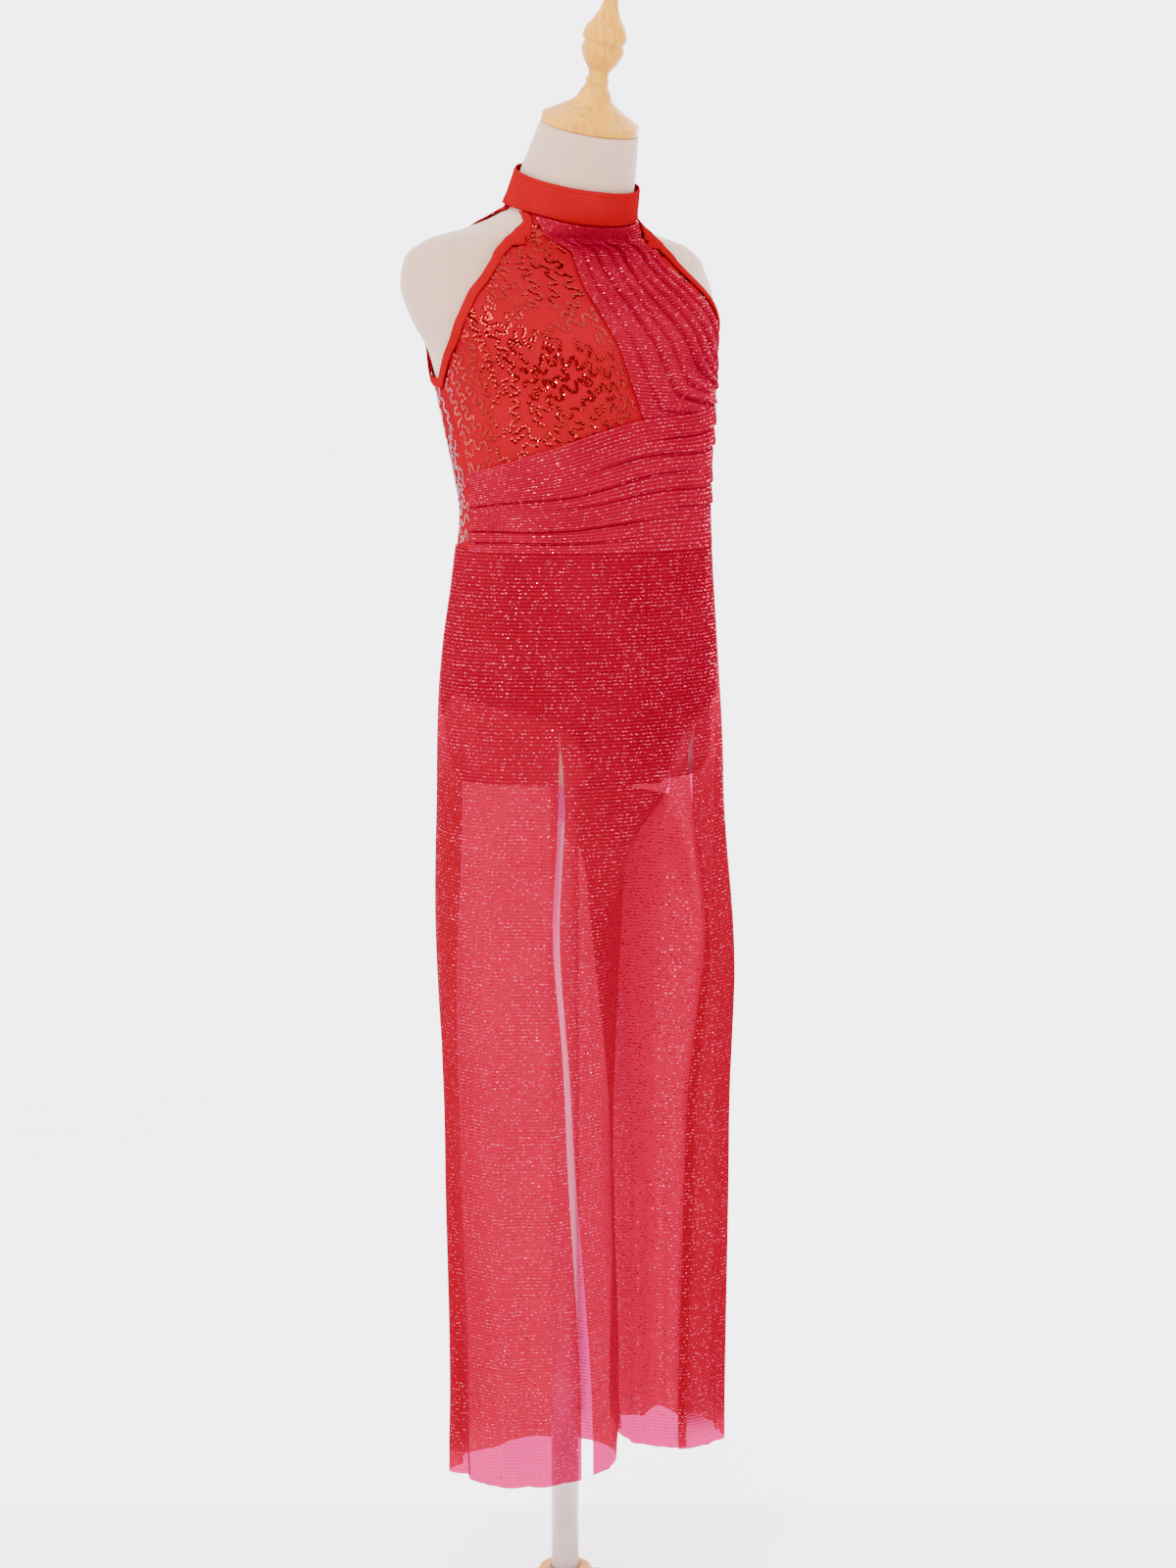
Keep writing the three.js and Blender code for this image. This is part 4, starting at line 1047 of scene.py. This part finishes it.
# %% Trouser tables
HEM = 162
CROTCH = 775
BLEND_TOP, BLEND_OUTER, BLEND_INNER = 790, 590, 715
HALF_SEAM, HALF_DIVIDE = 0.3, 0.75
TROUSERS = rows("z a b x y divide",
    (700, 136, 97, 3, -24, 26), (785, 136, 98, 3, -24, 26), (820, 135, 97.5, 2.5, -24, 16),
    (850, 134, 96.8, 1.5, -24, 5), (880, 132.4, 95.8, 0.3, -25, 0), (905, 130, 95, 0, -26, 0),
    (950, 124.4, 92.6, 0, -29, 0), (986, 120.4, 90.8, 0, -31, 0))
RIGHT_LEG = dict(
    side=-1,
    rings=rows("z x y a b",
        (162, -39, -14, 75, 60), (195, -39, -15, 76, 61), (460, -52, -22, 75, 68), (600, -54.5, -23, 77.5, 80),
        (775, -55, -24, 80, 97)),
    hip=rows("z side outer inner",
        (700, 82, 36, 33), (775, 82, 36.5, 34), (840, 82, 36, 36), (905, 83, 36, 36), (986, 90, 38, 38)),
    shin=rows("z side outer inner front",
        (162, 88, -3, -15, -52), (506, 88, 9, 3.5, -52), (700, 86, 28, 24, -52), (775, 84, 32, 29, -50)),
    lift=dict(outer=1.5, inner=-0.5),
    dense=dict(outer=0, inner=0.7, back=1),
    folds=rows("top hem width top_depth hem_depth start",
        (62, 50, 15, 2, 4, 930), (112, 114, 14, 0, 10, 620), (98, 98, 9, 0, -6, 560),
        (18, 24, 14, 1.5, 3.5, 900), (135, 146, 16, 2, 6, 900), (158, 172, 15, -1, -5, 760),
        (178, 205, 18, 1, 6, 700),
        (47, 36, 5, 0.5, -1.6, 760), (72, 66, 6, 0, 1.5, 700), (8, 10, 5, 0.3, -1.2, 820),
        (-18, -32, 7, 0, 1.8, 760), (124, 128, 6, 0, -1.8, 720), (190, 190, 6, 0, 1.6, 680)),
)
LEFT_LEG = dict(
    side=1,
    rings=rows("z x y a b",
        (162, 108, -12, 46, 54), (195, 106, -13, 47, 55), (460, 99, -22, 51, 58), (600, 91.5, -24, 53.5, 75),
        (775, 83, -24, 54, 97)),
    hip=rows("z side outer inner",
        (700, 82, 21, 24), (775, 82, 22, 21.5), (806, 82, 23, 20), (840, 82, 25, 25), (905, 83, 26, 26),
        (986, 90, 28, 28)),
    shin=rows("z side outer inner front",
        (162, 88, -31, -20, -64), (468, 88, -24, -12, -62), (596, 88, -16, -5, -58), (700, 86, -6, 2, -55),
        (775, 84, 0, 2, -52)),
    lift=dict(outer=3.5, inner=-2.5),
    dense=dict(outer=0.8, inner=0, back=0),
    folds=rows("top hem width top_depth hem_depth start",
        (40, 34, 16, 1, 5, 930), (60, 62, 13, -1, -5, 800), (108, 108, 14, 1, 7, 860),
        (122, 122, 15, -1, -9, 780), (140, 147, 16, 2, 15, 860), (160, 174, 15, -1, -10, 760),
        (180, 202, 16, 1, 12, 720), (225, 232, 14, 0, -6, 640), (-76, -78, 11, 0, 4, 640),
        (52, 48, 5, 0.4, -1.5, 760), (10, 6, 6, 0.3, 1.8, 720), (88, 84, 6, 0, 1.4, 640),
        (-44, -46, 6, 0, -1.6, 700), (190, 188, 6, 0, -1.6, 680)),
)
print("trouser tables ready")

# %% [markdown]
# ## Weaving a leg panel
# A panel is up to three grids that share edges: from the side seam to the slit, from the slit round to the front of
# the inner leg, and the inner wall down from the crotch to the inseam. The two sides of a slit are one edge above it
# and part below it.

# %% Leg panels


def hip_point(t, z):
    turn = t * DEG
    x, y, wide, deep = columns(TROUSERS, "x y a b", z)
    return point(x + wide * np.sin(turn), y - deep * np.cos(turn), z)


def hang(leg, z, hip, angle, lift=0.0):
    """A point of the leg: the hip's oval blended into the leg's own, then moved in or out by the folds."""
    x, y, wide, deep = columns(leg["rings"], "x y a b", z)
    turn = leg["side"] * angle * DEG
    round_leg = point(x + wide * np.sin(turn), y - deep * np.cos(turn), z)
    inner = np.maximum(1 - smooth(-50, 0, angle), smooth(185, 235, angle))
    foot = mix(BLEND_OUTER, BLEND_INNER, inner)
    blend = smooth(0, 1, (z - foot) / (BLEND_TOP - foot))[..., None]
    place = mix(round_leg, hip, blend)
    out = unit(place - point(x, y, z))
    depth = lift + 0 * angle
    for fold in leg["folds"]:
        down = np.clip((fold["start"] - z) / (fold["start"] - HEM), 0, 1)
        off = np.clip(np.abs(angle - mix(fold["top"], fold["hem"], down)) / fold["width"], 0, 1)
        rise = mix(fold["top_depth"], fold["hem_depth"], down) * smooth(0, 0.12, down)
        depth = depth + rise * 0.5 * (1 + np.cos(off * np.pi))
    return place + out * depth[..., None]


def leg_panel(name, leg, front):
    side, dense_at = leg["side"], leg["dense"]
    z = np.concatenate([
        [987.2], np.linspace(985.4, 840, 22), np.linspace(834, CROTCH, 10), np.linspace(768, HEM, 84),
    ])[::-1][:, None]
    hip, shin, ring = (lambda column, lines=lines: table(lines, column, z)
                       for lines in (leg["hip"], leg["shin"], TROUSERS))
    below = z <= CROTCH
    divide_x = ring("divide") + side * np.where(below, HALF_DIVIDE, HALF_SEAM)
    divide = side * np.arcsin((divide_x - ring("x")) / ring("a")) / DEG
    on_hip = lambda angle: hip_point(side * angle, z + 0 * angle)
    lifted = np.where(z < 840, smooth(BLEND_TOP, 680, z), 0)
    above_hem = smooth(HEM + 8, HEM + 34, z)
    inner_dense = smooth(700, 560, z) * above_hem * dense_at["inner"]
    gap = 0.08 if front else -0.08
    u = np.linspace(0, 1, 46)[None, :]
    end_hip = hip("outer") if front else 180 - divide
    end_shin = shin("outer") if front else 282 + shin("front")
    near = smooth(0.72, 1, u) * lifted * leg["lift"]["outer"] if front else 0 * u * z
    hip_angle, angle = mix(hip("side") - gap, end_hip, u), mix(shin("side") - gap, end_shin, u)
    grids = [hang(leg, z + 0 * u, on_hip(hip_angle), angle, near)]
    drawn = dense_at["outer"] + 0 * u if front else dense_at["back"] * (1 - smooth(0.25, 0.75, u))
    dense = [smooth(860, 760, z) * above_hem * drawn]
    corner = end_shin
    if front:
        near = smooth(0.4, 0, u) * lifted * leg["lift"]["inner"]
        hip_angle, angle = mix(hip("inner"), divide, u), mix(shin("inner"), shin("front"), u)
        grids.append(hang(leg, z + 0 * u, on_hip(hip_angle), angle, near))
        dense.append(inner_dense * smooth(0.55, 0.95, u))
        corner = shin("front")
    low = below[:, 0]
    u = np.linspace(0, 1, 24)[None, :]
    last = -95 if front else 265
    edge = on_hip(divide if front else 180 - divide)[low]
    middle = point(divide_x[low], ring("y")[low] + (-0.2 if front else 0.2), z[low])
    grids.append(hang(leg, z[low] + 0 * u, mix(edge, middle, u[..., None]), mix(corner[low], last, u)))
    dense.append(inner_dense[low] * (1 - smooth(0.2, 0.6, u)))
    if (side > 0) == front:
        grids, dense = [grid[:, ::-1] for grid in grids], [part[:, ::-1] for part in dense]
    maps = [(lengths(grid)[0], grid[..., 2] * MM) for grid in grids]
    return cloth(name, grids, sheer, maps, dense=dense)


leg_sheets = {}
for name, leg in (("leg_right", RIGHT_LEG), ("leg_left", LEFT_LEG)):
    for front in (True, False):
        node = f"{name}_{'front' if front else 'back'}"
        leg_sheets[node] = leg_panel(f"{node}_mesh", leg, front)
        dress(leg_sheets[node], "glitter_mesh", node)

# %% [markdown]
# ## Stitching
# Trim is held by rows of small stitches. One thread stitch is a short capsule, repeated along a path at an even
# pitch and turned to follow it.

# %% Stitches


def stitch_tree(finish):
    tree = Growing("stitches_along_a_seam", {"Pitch": 0.0028, "Length": 0.0019, "Thickness": 0.00022})
    thread = tree.add("GeometryNodeMeshCylinder", fill_type="TRIANGLE_FAN", Vertices=6, Radius=tree.size["Thickness"],
                      Depth=tree.size["Length"])
    tangent = tree.add("GeometryNodeInputTangent").outputs[0]
    tree.string(thread.outputs["Mesh"], tree.stand(tangent), finish)
    return tree


thread_red = knit_finish("sewing_thread", (0.30, 0.0003, 0.0012), (0.22, 0.0001, 0.0005), 0.5)
t_round = np.linspace(0, 360, 200)
seams = [collar_place(t_round, across, 1.15) for across in (0.1, 0.9)]
seams += [binding_place(side)(STATIONS, 0.82, 1.1) for side in (-1, 1)]
stitched = stitch_tree(thread_red).grow("stitching", path_object("seam_paths", seams), thread_red, True)
dress(stitched, "red_knit")

# %% [markdown]
# ## Cut sizes
# Every sheet states the flat piece that it was cut from. A flared leg panel isn't a rectangle, so its area is given
# too.

CUTS = [
    (collar, (0.345, 0.030), "stretched", "form_cover", 0.0103),
    (bodice_front, (0.285, 0.290), "stretched", "form_cover", 0.0740),
    (bodice_back, (0.270, 0.300), "stretched", "form_cover", 0.0680),
    (bindings[0], (0.010, 0.455), "stretched", "bodice_front_knit", None),
    (bindings[1], (0.010, 0.455), "stretched", "bodice_front_knit", None),
    (waist_sheet, (0.345, 0.160), "gathered", "bodice_front_knit", 0.0420),
    (bust_sheet, (0.330, 0.200), "gathered", "bodice_front_knit", 0.0330),
    (brief_front, (0.300, 0.300), "stretched", "form_cover", 0.0500),
    (brief_back, (0.300, 0.300), "stretched", "form_cover", 0.0520),
]
for name, flat, area in (("leg_right", (0.250, 0.830), 0.180), ("leg_left", (0.230, 0.830), 0.160)):
    CUTS += [(leg_sheets[f"{name}_{half}"], flat, "hung", "form_cover", area) for half in ("front", "back")]
for piece, flat, held, under, area in CUTS:
    print(piece.name, "cut from", flat, "area", area, held)

# %% [markdown]
# ## Floor, wall and light
# The set is a plain pale sweep. A large soft light stands high at the left, two long ones at the sides catch the
# edges of the sheer cloth, and the bright room fills the shadows. Three small warm lights give the sequins and the
# foil their sparks, against a dimmer end of the room that they would otherwise mirror.

# %% Room and lights
PAPER_EDGE = 0.285
FLOOR_LEVEL = -0.001
FADE = 0.36, 0.88
HORIZON = (4.9, 4.8, 5.25)
DARK_END = (1.0, 0.97, 0.97)
GOLD = (1, 0.86, 0.6)


def floor_finish():
    """Pale boards up to a straight edge behind the stand, and glowing backdrop paper beyond it."""
    floor = Finish("pale_floor", Roughness=0.85, Specular_IOR_Level=0.1)
    places = floor.places()
    split = floor.add("ShaderNodeSeparateXYZ", Vector=places).outputs
    turn = CAMERA_AZIMUTH * DEG
    back = Value(floor, split[0]) * -math.sin(turn) + Value(floor, split[1]) * math.cos(turn)
    beyond = ((back - PAPER_EDGE) * 60.0).held()
    far = ((Value(floor, floor.vectors("LENGTH", places)["Value"]) - 0.4) * 0.5).held()
    floor.colour(floor.ramp(beyond, [(0.0, (0.80, 0.76, 0.84)), (1.0, (0.90, 0.88, 0.94))]))
    glow = floor.add("ShaderNodeEmission", Strength=1.0, Color=(*HORIZON, 1))
    floor.surface(floor.mixed(far.larger(beyond * 0.55), floor.shader.outputs[0], glow.outputs[0]))
    return floor


def lay_floor(half):
    mesh = bpy.data.meshes.new("floor")
    corners = [(x * half, y * half, FLOOR_LEVEL) for x, y in ((-1, -1), (1, -1), (1, 1), (-1, 1))]
    mesh.from_pydata(corners, [], [(0, 1, 2, 3)])
    link("floor", mesh, floor_finish(), False)


def hang_sky():
    """A bright room round the stand, with a dimmer end behind the camera that shiny things mirror."""
    world = bpy.data.worlds.new("room")
    bpy.context.scene.world = world
    world.use_nodes = True
    sky = Nodes(world.node_tree)
    dim = (math.sin(CAMERA_AZIMUTH * DEG), -math.cos(CAMERA_AZIMUTH * DEG), 0.1)
    facing = sky.vectors("DOT_PRODUCT", sky.places("Generated"), dim)["Value"]
    fade = sky.add("ShaderNodeMapRange", interpolation_type="SMOOTHSTEP", Value=facing, From_Min=FADE[0],
                   From_Max=FADE[1]).outputs["Result"]
    tone = sky.blend(fade, (*HORIZON, 1), (*DARK_END, 1))
    sky.feed(sky.tree.nodes["Background"].inputs["Color"], tone)


def soft_light(name, place, aim, wide, high, power, colour=(1, 1, 1)):
    """A rectangular soft light that faces the point it aims at."""
    data = bpy.data.lights.new(name, "AREA")
    data.shape, data.size, data.size_y, data.energy, data.color = "RECTANGLE", wide, high, power, colour
    light = place_object(name, data)
    light.location = place
    direction = np.array(aim, float) - np.array(place, float)
    flat = math.hypot(direction[0], direction[1])
    light.rotation_euler = (math.atan2(flat, -direction[2]), 0, math.atan2(direction[1], direction[0]) - math.pi / 2)


lay_floor(30)
hang_sky()
soft_light("key", (-1.5, -1.2, 3.0), (0, 0, 0.9), 1.4, 1.4, 115)
soft_light("fill_low", (-2.4, -1.5, 0.5), (0, 0, 0.5), 1.0, 1.0, 32)
soft_light("spark_high", (-2.2, -1.75, 2.75), (0, 0, 1.15), 0.09, 0.09, 24, GOLD)
soft_light("spark_middle", (-1.65, -2.3, 2.0), (0, 0, 1.15), 0.09, 0.14, 22, GOLD)
soft_light("spark_low", (-0.85, -2.6, 1.45), (0, 0, 1.1), 0.09, 0.14, 12, GOLD)
soft_light("side_right", (2.2, 0.9, 1.4), (0, 0, 0.8), 0.9, 2.2, 95)
soft_light("side_left", (-1.9, 1.6, 1.3), (0, 0, 0.8), 0.4, 2.0, 30)
print("room ready")
